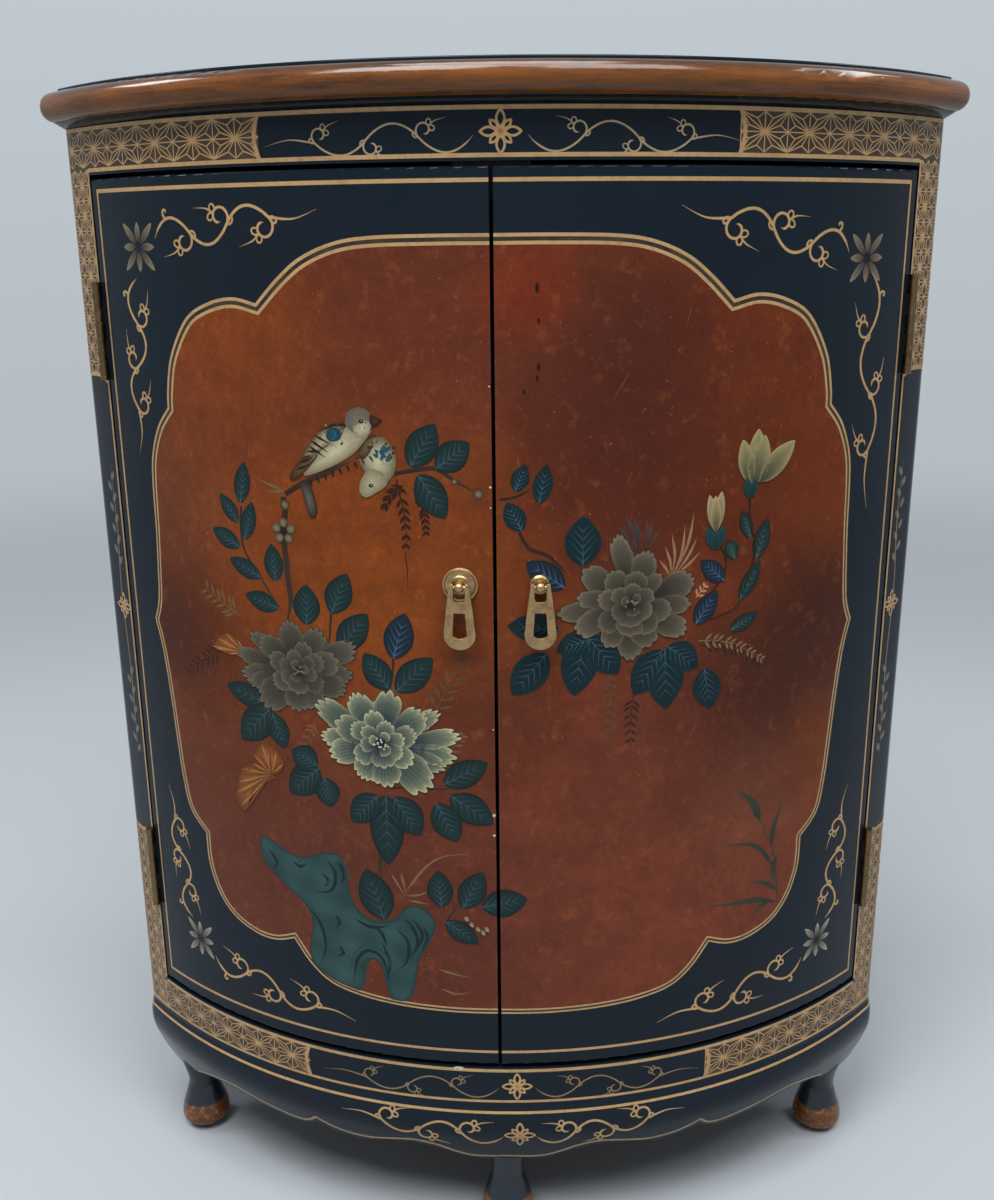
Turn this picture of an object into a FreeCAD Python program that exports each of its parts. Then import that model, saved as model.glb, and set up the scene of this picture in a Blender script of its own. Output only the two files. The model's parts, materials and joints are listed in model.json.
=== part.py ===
import FreeCAD, Part
import os
from math import atan2, cos, degrees, radians, sin, sqrt

Vector = FreeCAD.Vector
UP = Vector(0, 0, 1)
ROOT2 = sqrt(2)

# Plan of the body, in millimetres
body_half_width = 340.0     # widest reach of the rounded front corners
bow_radius = 453.0          # face of the bow front
corner_radius = 20.0        # rounded front corners
stile_depth = 36.0          # corner stile, from the front corner back along the side
rail_thickness = 19.0
panel_thickness = 12.0
post_size = 40.0            # square post in the back corner
post_chamfer = 8.0          # its outer corner, cut off to clear the corner of a room
stile_face = 28.2           # corner stile along the bow, from the round corner to the hinge gap
board_corner_radius = 5.0   # front corners of the inner boards
fit_gap = 0.1               # between curved faces that are glued together
seat_gap = 0.025            # under a piece that is screwed to the face

# Heights, from the floor up
base_height = 134.0         # floor to the joint between apron and bottom rail
bottom_rail_height = 37.0
door_height = 696.7
frieze_height = 34.7
cove_height = 4.8
moulding_thickness = 21.6
panel_rise = 3.0            # black top panel above the brown moulding
reveal_bottom = 3.3         # gap under the doors
reveal_top = 2.9            # gap over the doors
board_thickness = 18.0
floor_drop = 1.0            # cabinet floor below the top of the bottom rail

# Top
top_overhang = 18.0
side_overhang = 2.0
top_corner_radius = 18.0
moulding_width = 14.0
nose_flat = 0.6             # band between the two rounded edges of the moulding
panel_edge = 1.2            # rounded edge of the black top panel
panel_corner_radius = 4.5
cove_reach = 9.0
cove_side_reach = 1.0

# Shelf
shelf_thickness = 16.0
shelf_rise = 375.0          # cabinet floor to the underside of the shelf
shelf_setback = 40.0        # from the face of the bow
shelf_clearance = 1.0
shelf_pin_radius = 2.5
shelf_pin_sunk = 7.0
shelf_pin_reach = 12.0
shelf_pin_inset = 90.0      # from the back post and from the front stile

# Doors
door_thickness = 18.0
door_edge = 2.0             # eased front edges
hinge_gap = 2.0             # door to stile
seam_gap = 2.0
seam_arc = -4.8             # the meeting edges lie left of the middle

# Butt hinges
hinge_height = 76.0
lower_hinge_rise = 112.7    # bottom of the door to the middle of the lower hinge
upper_hinge_drop = 114.0    # top of the door to the middle of the upper hinge
hinge_axis_out = 3.5        # pin axis in front of the face
barrel_radius = 3.2
hinge_pin_radius = 1.5
hinge_clearance = 0.04
leaf_thickness = 1.5
leaf_play = 0.3             # each leaf to the middle of the gap
leaf_depth = 15.0
leaf_start = 0.1            # plate behind the face
tab_start = 2.0             # tab inside the knuckle wall, from the pin axis
knuckle_count = 5
knuckle_gap = 0.3
screw_count = 3
screw_margin = 12.0         # outer screws to the ends of the leaf
screw_radius = 1.3
screw_head_radius = 2.6
screw_length = 14.0
screw_depth = 9.0           # screw line behind the face
screw_clearance = 0.03

# Pulls
pull_rise = 408.7           # bottom of the door to the swing axis
left_pull_inset = 25.4      # seam to the left pull, along the bow
right_pull_inset = 32.4     # seam to the right pull
rosette_radius = 13.0
rosette_rim = 1.2
rosette_crown = 1.8         # height of the raised rings
boss_radius = 6.3
washer_radius = 7.3
seat_height = 2.8           # rosette or washer, at the post
post_radius = 2.0
post_clearance = 0.03
collar_radius = 4.2
collar_height = 1.0
neck_radius = 2.6
knob_radius = 3.7
pendant_axis_out = 8.0      # swing axis in front of the door
pendant_pin_radius = 1.5
pendant_pin_clearance = 0.05
pendant_thickness = 3.4
pendant_top = 2.6
pendant_top_half = 7.0
pendant_shoulder = 14.0
pendant_shoulder_half = 9.4
pendant_hip = 35.0
pendant_hip_half = 11.7
pendant_drop = 47.0
eye_half = 4.4
eye_drop = 10.8
eye_corner = 3.0
slot_top = 19.0
slot_top_half = 4.2
slot_bottom = 36.0
slot_bottom_half = 5.3
slot_sag = 2.5              # rounded lower end of the slot
nut_across = 4.6
nut_height = 3.2
thread_past_nut = 2.0

# Catch at the top of the seam
catch_half = 28.0
catch_depth = 18.0
catch_margin = 1.4          # catch below the strike plates
strike_thickness = 1.2
strike_height = 16.0
strike_clear = 4.0          # strike plate to the seam
strike_inset = 3.0          # strike plate below the top of the door
catch_play = 0.4

# Apron: a swelling section, carried round the corners, with a scalloped lower edge
apron_thickness = 24.0
apron_height = 74.0
apron_swell = 3.0
swell_drop = 18.0           # widest point below the top of the apron
waist_drop = 37.0
waist_in = 1.0
knee_drop = 54.0
knee_in = 7.5
knee_foot_in = 17.0
skirt_thickness = 14.0
skirt_height = 38.0

# Lower edge of the apron: distance from the middle along the bow, and height above the foot of the apron
scallop_span = 376.7        # half of the front that these points are drawn for
scallop_flat = (32.0, 14.0)
scallop_shoulder = (60.0, 25.5)
scallop_arch = (82.0, 29.0)
scallop_lobe = (122.0, 21.5)
scallop_rise = (150.0, 23.5)
scallop_cusp = (170.0, 31.0)
scallop_fall = (180.0, 24.0)
scallop_dip = (196.0, 22.0)
scallop_swing = (232.0, 26.5)
scallop_crown = (267.0, 31.0)
scallop_drop = (304.0, 23.0)
scallop_end = (338.0, 0.0)

# Legs
leg_inset = 29.0            # leg axis behind the face
leg_from_corner = 26.0      # side legs, from the round corner along the bow
leg_stop = 6.0              # leg below the top of its block
shank_radius = 13.0
shank_clearance = 0.03
shank_start = 60.0
ankle_height = 46.0
ankle_radius = 13.4
instep_height = 31.0
instep_radius = 18.0
toe_height = 16.0
toe_radius = 22.0
pad_radius = 12.0
pad_height = 5.0
pad_shoulder = 15.0
block_half = 22.0
block_front = 9.0           # leg block behind the face
block_depth = 44.0
block_height = 42.0

# Heights that follow
rail_top = base_height + bottom_rail_height
door_bottom = rail_top + reveal_bottom
door_top = door_bottom + door_height
frieze_bottom = door_top + reveal_top
frieze_top = frieze_bottom + frieze_height
cove_top = frieze_top + cove_height
moulding_top = cove_top + moulding_thickness
table_top = moulding_top + panel_rise
cabinet_floor = rail_top - floor_drop
shelf_height = cabinet_floor + shelf_rise
pull_height = door_bottom + pull_rise
hinge_heights = {"upper": door_top - upper_hinge_drop, "lower": door_bottom + lower_hinge_rise}
screw_spacing = (hinge_height - 2 * screw_margin) / (screw_count - 1)
apron_bottom = base_height - apron_height
skirt_bottom = base_height - skirt_height
block_bottom = base_height - block_height
leg_top = base_height - leg_stop

# Plan that follows: rounded corners, sides and back corner, as seen from the bow's centre
corner_x = body_half_width - corner_radius
corner_y = -sqrt((bow_radius - corner_radius) ** 2 - corner_x ** 2)
side_reach = corner_x + corner_y + corner_radius * ROOT2
corner_angle = degrees(atan2(corner_x, -corner_y))
corner_arc = radians(corner_angle) * bow_radius
side_angle = 135.0
side_corner = (corner_x - corner_y + side_reach) / ROOT2
side_front = side_corner + corner_radius
top_radius = bow_radius + top_overhang
top_reach = side_reach + side_overhang * ROOT2
top_back = top_reach - top_corner_radius * (ROOT2 - 1)
bow_y = (top_radius - top_back) / 2
centre = Vector(0, bow_y, 0)
face_y = bow_y - bow_radius
back_corner = Vector(0, bow_y + side_reach, 0)
hinge_angle = degrees((corner_arc - stile_face) / bow_radius)
leg_angle = degrees((corner_arc - leg_from_corner) / bow_radius)
pull_arcs = {"left": seam_arc - left_pull_inset, "right": seam_arc + right_pull_inset}
seam_angle = degrees(seam_arc / bow_radius)
far = 4 * body_half_width


def turned(shape, angle):
    """A copy of a shape, carried round the bow's centre by an angle that is positive towards +X."""
    copy = shape.copy()
    copy.rotate(centre, UP, angle)
    return copy


def mirrored(shape):
    return shape.mirror(Vector(0, 0, 0), Vector(1, 0, 0))


def lump(shape):
    """The one solid of a shape that booleans left in a compound."""
    return shape.removeSplitter().Solids[0]


def compass(radius, angle, about=(0.0, 0.0)):
    """A point in plan, seen from the bow's centre, at an angle from the front."""
    x = about[0] + radius * sin(radians(angle))
    y = about[1] - radius * cos(radians(angle))
    return Vector(x, bow_y + y, 0)


def plan_wire(front, reach, corner, back=0.0):
    """The outline of a corner cabinet: bow front, rounded corners and two sides at a right angle."""
    middle = reach - corner * ROOT2
    x = (middle + sqrt(2 * (front - corner) ** 2 - middle ** 2)) / 2
    y = middle - x
    turn = degrees(atan2(x, -y))
    start = compass(front, turn)
    half_way = compass(corner, (turn + side_angle) / 2, (x, y))
    end = compass(corner, side_angle, (x, y))

    def left(point):
        return Vector(-point.x, point.y, point.z)

    edges = [Part.Arc(left(start), compass(front, 0), start).toShape()]
    edges.append(Part.Arc(start, half_way, end).toShape())
    if back > 0:
        back_centre = (0.0, reach - back * ROOT2)
        near = compass(back, side_angle, back_centre)
        tip = compass(back, 180, back_centre)
        edges.append(Part.makeLine(end, near))
        edges.append(Part.Arc(near, tip, left(near)).toShape())
        edges.append(Part.makeLine(left(near), left(end)))
    else:
        tip = compass(reach, 180)
        edges.append(Part.makeLine(end, tip))
        edges.append(Part.makeLine(tip, left(end)))
    edges.append(Part.Arc(left(end), left(half_way), left(start)).toShape())
    return Part.Wire(edges)


def plan_board(wire, bottom, top):
    board = Part.Face(wire).extrude(Vector(0, 0, top - bottom))
    board.translate(Vector(0, 0, bottom))
    return board


def bow_board(inner, outer, first, last, bottom, top):
    """A curved board between two radii and two angles of the bow."""
    base = Vector(0, bow_y, bottom)
    board = Part.makeCylinder(outer, top - bottom, base, UP, last - first)
    board = board.cut(Part.makeCylinder(inner, top - bottom, base))
    board.rotate(centre, UP, first - 90)
    return board


def beyond(angle, offset):
    """All the space to the right of a radial plane, moved by an offset along the bow."""
    block = Part.makeBox(far, far, 2 * far, Vector(offset, bow_y - far, -far))
    return turned(block, angle)


def side_box(near, away, outer, inner, bottom, top):
    """A box along the right side, measured from the back corner forwards and from the side inwards."""
    box = Part.makeBox(away - near, inner - outer, top - bottom, Vector(near, -inner, bottom))
    box.rotate(Vector(0, 0, 0), UP, -45)
    box.translate(back_corner)
    return box


def side_point(along, inwards, height):
    """A point on the right side, measured as in side_box."""
    return back_corner + Vector((along - inwards) / ROOT2, -(along + inwards) / ROOT2, height)


def lathe(profile):
    """A turned solid round +Z from points of radius and height."""
    points = [Vector(radius, 0, height) for radius, height in profile]
    return Part.Face(Part.makePolygon(points + points[:1])).revolve(Vector(0, 0, 0), UP, 360)


def out_of_face(shape, angle, height):
    """A shape turned round +Z, set on the face of the bow and pointing out of it."""
    copy = shape.copy()
    copy.rotate(Vector(0, 0, 0), Vector(1, 0, 0), 90)
    copy.translate(Vector(0, face_y, height))
    return turned(copy, angle)


pieces = {}


# Carcass: corner stiles, rails, sides and boards

body_wire = plan_wire(bow_radius, side_reach, corner_radius)
stile_back = side_front - stile_depth
stile_zone = side_box(stile_back, side_front + corner_radius, -corner_radius, far, base_height, frieze_top)
stile = plan_board(body_wire, base_height, frieze_top).common(stile_zone)
stile = lump(stile.common(beyond(hinge_angle, hinge_gap / 2)))
stiles = {"right": stile, "left": mirrored(stile)}


def rail(bottom, top):
    board = bow_board(bow_radius - rail_thickness, bow_radius, -corner_angle, corner_angle, bottom, top)
    end = beyond(hinge_angle, hinge_gap / 2)
    return lump(board.cut(end).cut(mirrored(end)))


pieces["frieze_rail"] = rail(frieze_bottom, frieze_top)
pieces["bottom_rail"] = rail(base_height, rail_top)

back_post = side_box(0, post_size, 0, post_size, skirt_bottom, frieze_top)
wall_corner = Part.makeBox(far, far, far, back_corner + Vector(-far / 2, -post_chamfer, 0))
back_post = back_post.cut(wall_corner)
side_panel = side_box(post_size, stile_back, 0, panel_thickness, base_height, frieze_top)


def inner_board(front, clearance, bottom, top):
    """A board inside the sides, cut out round the stiles and the back post."""
    wire = plan_wire(front, side_reach - (panel_thickness + clearance) * ROOT2, board_corner_radius)
    board = plan_board(wire, bottom, top)
    room = post_size + clearance
    board = board.cut(side_box(0, room, 0, room, bottom, top))
    notch = side_box(stile_back - clearance, far, -far, far, bottom, top)
    notch = notch.common(beyond(hinge_angle, hinge_gap / 2))
    return lump(board.cut(notch).cut(mirrored(notch)))


behind_rails = bow_radius - rail_thickness - fit_gap
pieces["sub_top"] = inner_board(behind_rails, 0, frieze_top - board_thickness, frieze_top)
pieces["bottom_board"] = inner_board(behind_rails, 0, cabinet_floor - board_thickness, cabinet_floor)
shelf_top = shelf_height + shelf_thickness
pieces["shelf"] = inner_board(bow_radius - shelf_setback, shelf_clearance, shelf_height, shelf_top)


# Shelf pins, sunk into the side panels

pin_height = shelf_height - shelf_pin_radius - fit_gap
shelf_pins = []
inwards = Vector(-1, -1, 0)
for along in (post_size + shelf_pin_inset, stile_back - shelf_pin_inset):
    foot = side_point(along, panel_thickness - shelf_pin_sunk, pin_height)
    length = shelf_pin_sunk + shelf_pin_reach
    pin = Part.makeCylinder(shelf_pin_radius, length, foot, inwards)
    hole = Part.makeCylinder(shelf_pin_radius + hinge_clearance, length, foot, inwards)
    side_panel = side_panel.cut(hole)
    shelf_pins += [pin, mirrored(pin)]
pieces["side_panel_right"] = lump(side_panel)
pieces["side_panel_left"] = mirrored(pieces["side_panel_right"])
pieces["shelf_pins"] = Part.makeCompound(shelf_pins)


# Top: cove board, brown moulding with a round nose, and the raised black panel

cove_foot = plan_wire(bow_radius, side_reach, corner_radius, top_corner_radius)
cove_foot.translate(Vector(0, 0, frieze_top))
cove_side = side_reach + cove_side_reach * ROOT2
cove_head = plan_wire(bow_radius + cove_reach, cove_side, corner_radius, top_corner_radius)
cove_head.translate(Vector(0, 0, cove_top))
pieces["cove_moulding"] = Part.makeLoft([cove_foot, cove_head], True, True)

top_wire = plan_wire(top_radius, top_reach, top_corner_radius, top_corner_radius)
top_board = plan_board(top_wire, cove_top, moulding_top)
nose = (moulding_thickness - nose_flat) / 2
rims = [edge for edge in top_board.Edges if edge.BoundBox.ZLength < fit_gap]
top_board = top_board.makeFillet(nose, rims)


def top_inset(gap):
    inset = moulding_width + gap
    corner = panel_corner_radius
    return plan_wire(top_radius - inset, top_reach - inset * ROOT2, corner, corner)


pieces["top_moulding"] = lump(top_board.cut(plan_board(top_inset(0), 0, far)))
top_panel = plan_board(top_inset(fit_gap), cove_top, table_top)
rims = [edge for edge in top_panel.Edges if edge.BoundBox.ZMin > table_top - fit_gap]
pieces["top_panel"] = top_panel.makeFillet(panel_edge, rims)


# Hinges: built at the front of the bow with the stile on the right, then carried round to the gap

axis_y = face_y - hinge_axis_out


def knuckle(bottom, top):
    base = Vector(0, axis_y, bottom)
    tube = Part.makeCylinder(barrel_radius, top - bottom, base)
    return tube.cut(Part.makeCylinder(hinge_pin_radius + hinge_clearance, top - bottom, base))


def leaf(middle, parity):
    """A leaf on the right of the gap, with every second knuckle."""
    low = middle - hinge_height / 2
    pitch = hinge_height / knuckle_count
    plate_corner = Vector(leaf_play, face_y + leaf_start, low)
    plate = Part.makeBox(leaf_thickness, leaf_depth, hinge_height, plate_corner)
    for number in range(parity, knuckle_count, 2):
        bottom = low + number * pitch + knuckle_gap / 2
        top = low + (number + 1) * pitch - knuckle_gap / 2
        reach = hinge_axis_out + leaf_start - tab_start
        corner = Vector(leaf_play, axis_y + tab_start, bottom)
        tab = Part.makeBox(leaf_thickness, reach, top - bottom, corner)
        plate = plate.fuse(tab).fuse(knuckle(bottom, top))
    return plate


def leaf_screw(height, clearance):
    """A countersunk screw through a leaf on the right of the gap, or the hole that it needs."""
    shank = screw_radius + clearance
    head = screw_head_radius + clearance
    base = Vector(leaf_play, face_y + screw_depth, height)
    right = Vector(1, 0, 0)
    cone = Part.makeCone(head, shank, leaf_thickness, base, right)
    return cone.fuse(Part.makeCylinder(shank, screw_length, base, right)).removeSplitter()


def leaf_mortise(middle):
    """The room that a leaf takes out of the wood, open to the front."""
    front = hinge_axis_out - tab_start
    corner = Vector(leaf_play, face_y - front, middle - hinge_height / 2)
    return Part.makeBox(leaf_thickness, front + leaf_start + leaf_depth, hinge_height, corner)


def screw_heights(middle):
    first = -(screw_count - 1) / 2
    return [middle + (first + number) * screw_spacing for number in range(screw_count)]


frame_screws = []
door_screws = []
hinge_cuts = []
for level, middle in hinge_heights.items():
    frame_leaf = leaf(middle, 0)
    door_leaf = leaf(middle, 1)
    for height in screw_heights(middle):
        hole = leaf_screw(height, screw_clearance)
        frame_leaf = frame_leaf.cut(hole)
        door_leaf = door_leaf.cut(hole)
        hinge_cuts.append(hole)
        frame_screws.append(turned(leaf_screw(height, 0), hinge_angle))
        door_screws.append(turned(mirrored(leaf_screw(height, 0)), hinge_angle))
    hinge_cuts.append(leaf_mortise(middle))
    pin_foot = Vector(0, axis_y, middle - hinge_height / 2)
    hinge_pin = turned(Part.makeCylinder(hinge_pin_radius, hinge_height, pin_foot), hinge_angle)
    frame_leaf = turned(lump(frame_leaf), hinge_angle)
    door_leaf = turned(lump(mirrored(door_leaf)), hinge_angle)
    for name, shape in (("frame_leaf", frame_leaf), ("door_leaf", door_leaf), ("hinge_pin", hinge_pin)):
        pieces[f"{name}_{level}_right"] = shape
        pieces[f"{name}_{level}_left"] = mirrored(shape)

pieces["frame_leaf_screws"] = Part.makeCompound(frame_screws + [mirrored(screw) for screw in frame_screws])
pieces["door_leaf_screws_right"] = Part.makeCompound(door_screws)
pieces["door_leaf_screws_left"] = Part.makeCompound([mirrored(screw) for screw in door_screws])

for cut in hinge_cuts:
    stiles["right"] = stiles["right"].cut(turned(cut, hinge_angle))
pieces["stile_right"] = lump(stiles["right"])
pieces["stile_left"] = mirrored(pieces["stile_right"])


# Doors

def door(side):
    """A bow-fronted door from the hinge gap to the seam, with eased front edges and hinge mortises."""
    inner = bow_radius - door_thickness
    board = bow_board(inner, bow_radius, -corner_angle, corner_angle, door_bottom, door_top)
    stile_side = beyond(hinge_angle, -hinge_gap / 2)
    cuts = [turned(mirrored(cut), hinge_angle) for cut in hinge_cuts]
    if side == "left":
        stile_side = mirrored(stile_side)
        cuts = [mirrored(cut) for cut in cuts]
        seam_side = beyond(seam_angle, -seam_gap / 2)
        board = board.cut(stile_side).cut(seam_side)
    else:
        seam_side = beyond(seam_angle, seam_gap / 2)
        board = board.cut(stile_side).common(seam_side)
    board = lump(board)
    front = []
    for edge in board.Edges:
        middle = edge.valueAt((edge.FirstParameter + edge.LastParameter) / 2)
        if abs(sqrt(middle.x ** 2 + (middle.y - bow_y) ** 2) - bow_radius) < fit_gap:
            front.append(edge)
    board = board.makeFillet(door_edge, front)
    for cut in cuts:
        board = board.cut(cut)
    return board


# Pulls: rosette or washer, post with a round knob, nut, and the pendant that swings on its cross pin

bore = post_radius + post_clearance
rosette_profile = [
    (bore, seat_gap), (rosette_radius, seat_gap), (rosette_radius, rosette_rim),
    (rosette_radius - rosette_rim, rosette_crown), (rosette_radius - 2 * rosette_rim, rosette_rim),
    (boss_radius + rosette_rim, rosette_crown), (boss_radius, seat_height), (bore, seat_height),
]
washer_profile = [
    (bore, seat_gap), (washer_radius, seat_gap), (washer_radius, seat_height / 2),
    (washer_radius - rosette_rim, seat_height), (bore, seat_height),
]
nut_face = -door_thickness - fit_gap
thread_end = nut_face - nut_height - thread_past_nut


def pull_post():
    profile = [
        (0, thread_end), (post_radius, thread_end), (post_radius, seat_height), (collar_radius, seat_height),
        (collar_radius, seat_height + collar_height), (neck_radius, seat_height + collar_height),
        (neck_radius, pendant_axis_out), (0, pendant_axis_out),
    ]
    post = lathe(profile)
    knob = Part.makeSphere(knob_radius, Vector(0, 0, pendant_axis_out))
    eye_radius = pendant_pin_radius + pendant_pin_clearance
    start = Vector(-knob_radius, 0, pendant_axis_out)
    eye = Part.makeCylinder(eye_radius, 2 * knob_radius, start, Vector(1, 0, 0))
    return post.fuse(knob).cut(eye)


def pull_nut():
    corners = []
    for turn in range(0, 361, 60):
        x = nut_across * cos(radians(turn))
        y = nut_across * sin(radians(turn))
        corners.append(Vector(x, y, nut_face))
    nut = Part.Face(Part.makePolygon(corners)).extrude(Vector(0, 0, -nut_height))
    return nut.cut(Part.makeCylinder(bore, 2 * nut_height, Vector(0, 0, nut_face - nut_height)))


def flat_plate(wire_edges):
    """A plate of the pendant's thickness from an outline of width and height, centred on the swing axis."""
    plate = Part.Face(Part.Wire(wire_edges)).extrude(Vector(0, pendant_thickness, 0))
    plate.translate(Vector(0, -pendant_thickness / 2, 0))
    return plate


def pendant():
    """The drop of a pull, hanging straight down from its swing axis at the origin."""
    right = [
        Vector(pendant_top_half, 0, pendant_top), Vector(pendant_shoulder_half, 0, -pendant_shoulder),
        Vector(pendant_hip_half, 0, -pendant_hip),
    ]
    left = [Vector(-point.x, 0, point.z) for point in reversed(right)]
    edges = [Part.makeLine(a, b) for a, b in zip(right, right[1:])]
    edges.append(Part.Arc(right[-1], Vector(0, 0, -pendant_drop), left[0]).toShape())
    edges += [Part.makeLine(a, b) for a, b in zip(left, left[1:])]
    edges.append(Part.makeLine(left[-1], right[0]))
    plate = flat_plate(edges)

    eye = Part.makeBox(2 * eye_half, far, eye_drop + far, Vector(-eye_half, -far / 2, -eye_drop))
    lower = [edge for edge in eye.Edges if edge.BoundBox.ZMax < 0]
    eye = eye.makeFillet(eye_corner, [edge for edge in lower if edge.BoundBox.YLength > far / 2])
    plate = plate.cut(eye)

    top_left = Vector(-slot_top_half, 0, -slot_top)
    top_right = Vector(slot_top_half, 0, -slot_top)
    low_left = Vector(-slot_bottom_half, 0, -slot_bottom)
    low_right = Vector(slot_bottom_half, 0, -slot_bottom)
    slot = [
        Part.makeLine(top_left, top_right), Part.makeLine(top_right, low_right),
        Part.Arc(low_right, Vector(0, 0, -slot_bottom - slot_sag), low_left).toShape(),
        Part.makeLine(low_left, top_left),
    ]
    plate = plate.cut(flat_plate(slot))
    reach = (pendant_top_half + eye_half) / 2
    pin = Part.makeCylinder(pendant_pin_radius, 2 * reach, Vector(-reach, 0, 0), Vector(1, 0, 0))
    return lump(plate.fuse(pin))


for side, arc in pull_arcs.items():
    angle = degrees(arc / bow_radius)
    panel = door(side)
    hole = Part.makeCylinder(bore, far, Vector(0, 0, -far / 2))
    pieces[f"door_{side}"] = lump(panel.cut(out_of_face(hole, angle, pull_height)))
    pieces[f"pull_post_{side}"] = lump(out_of_face(pull_post(), angle, pull_height))
    pieces[f"pull_nut_{side}"] = lump(out_of_face(pull_nut(), angle, pull_height))
    hanging = pendant()
    hanging.translate(Vector(0, face_y - pendant_axis_out, pull_height))
    pieces[f"pendant_{side}"] = turned(hanging, angle)
seats = {"rosette_left": (rosette_profile, "left"), "pull_washer_right": (washer_profile, "right")}
for name, (profile, side) in seats.items():
    angle = degrees(pull_arcs[side] / bow_radius)
    pieces[name] = out_of_face(lathe(profile), angle, pull_height)


# Magnetic catch under the sub-top, with a strike plate on each door

def seam_board(inner, outer, first, last, bottom, top):
    """A curved board that is placed by arc lengths from the seam."""
    start = degrees((seam_arc + first) / bow_radius)
    end = degrees((seam_arc + last) / bow_radius)
    return bow_board(inner, outer, start, end, bottom, top)


strike_back = bow_radius - door_thickness - fit_gap - strike_thickness
catch_front = min(strike_back - catch_play, behind_rails)
strike_low = door_top - strike_inset - strike_height
catch_top = frieze_top - board_thickness
catch_bottom = strike_low - catch_margin
pieces["door_catch"] = seam_board(
    catch_front - catch_depth, catch_front, -catch_half, catch_half, catch_bottom, catch_top)
for side, first, last in (("left", -catch_half, -strike_clear), ("right", strike_clear, catch_half)):
    pieces[f"strike_plate_{side}"] = seam_board(
        strike_back, strike_back + strike_thickness, first, last, strike_low, strike_low + strike_height)


# Legs, their blocks and the back post

def leg():
    """A turned leg: pad, wide toe, instep, ankle and a straight shank."""
    points = [Vector(0, 0, 0), Vector(pad_radius, 0, 0), Vector(pad_shoulder, 0, pad_height)]
    toe = Vector(toe_radius, 0, toe_height)
    instep = Vector(instep_radius, 0, instep_height)
    ankle = Vector(ankle_radius, 0, ankle_height)
    shank = Vector(shank_radius, 0, shank_start)
    edges = [Part.makeLine(a, b) for a, b in zip(points, points[1:])]
    profile = [points[-1], toe, instep, ankle, shank]
    curve = Part.BSplineCurve()
    curve.interpolate(profile, InitialTangent=Vector(1, 0, 0), FinalTangent=UP)
    edges.append(curve.toShape())
    top = Vector(shank_radius, 0, leg_top)
    edges.append(Part.makeLine(shank, top))
    edges.append(Part.makeLine(top, Vector(0, 0, leg_top)))
    edges.append(Part.makeLine(Vector(0, 0, leg_top), points[0]))
    return Part.Face(Part.Wire(edges)).revolve(Vector(0, 0, 0), UP, 360)


bow_legs = {"right": leg_angle, "left": -leg_angle, "front": 0.0}
leg_sockets = []
blocks = []
for side, angle in bow_legs.items():
    place = compass(bow_radius - leg_inset, angle)
    standing = leg()
    standing.translate(place)
    pieces[f"leg_{side}"] = standing
    socket = Part.makeCylinder(shank_radius + shank_clearance, leg_top, place)
    leg_sockets.append(socket)
    corner = Vector(-block_half, face_y + block_front, block_bottom)
    block = Part.makeBox(2 * block_half, block_depth, base_height - block_bottom, corner)
    blocks.append(turned(block, angle))

back_place = side_point(post_size / 2, post_size / 2, 0)
back_leg = leg()
back_leg.translate(back_place)
pieces["leg_back"] = back_leg
back_socket = Part.makeCylinder(shank_radius + shank_clearance, leg_top, back_place)
pieces["back_post"] = lump(back_post.cut(back_socket))


# Apron: the section is carried along the bow, round both corners and a short way back along the sides

def apron_section(inner):
    """The section in offsets from the face and heights, at the front of the bow, for an inner offset."""

    def at(offset, height):
        return Vector(0, face_y - offset, height)

    waist = at(-waist_in, base_height - waist_drop)
    foot = at(-knee_foot_in, apron_bottom)
    swell = Part.Arc(at(0, base_height), at(apron_swell, base_height - swell_drop), waist).toShape()
    knee = Part.Arc(waist, at(-knee_in, base_height - knee_drop), foot).toShape()
    return Part.Face(Part.Wire([
        swell, knee, Part.makeLine(foot, at(-inner, apron_bottom)),
        Part.makeLine(at(-inner, apron_bottom), at(-inner, base_height)),
        Part.makeLine(at(-inner, base_height), at(0, base_height)),
    ]))


bow_section = turned(apron_section(apron_thickness), -corner_angle)
apron = bow_section.revolve(centre, UP, 2 * corner_angle)
corner_section = turned(apron_section(corner_radius), corner_angle)
corner_centre = centre + Vector(corner_x, corner_y, 0)
corner_turn = corner_section.revolve(corner_centre, UP, side_angle - corner_angle)
return_length = skirt_bottom - apron_bottom
return_section = corner_section.copy()
return_section.rotate(corner_centre, UP, side_angle - corner_angle)
side_return = return_section.extrude(Vector(-return_length / ROOT2, return_length / ROOT2, 0))
arch_centre = side_point(side_corner - return_length, -corner_radius, apron_bottom)
arch = Part.makeCylinder(return_length, far, arch_centre, inwards)
side_return = side_return.cut(arch)
for extra in (corner_turn, side_return):
    apron = apron.fuse(extra).fuse(mirrored(extra))


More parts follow.
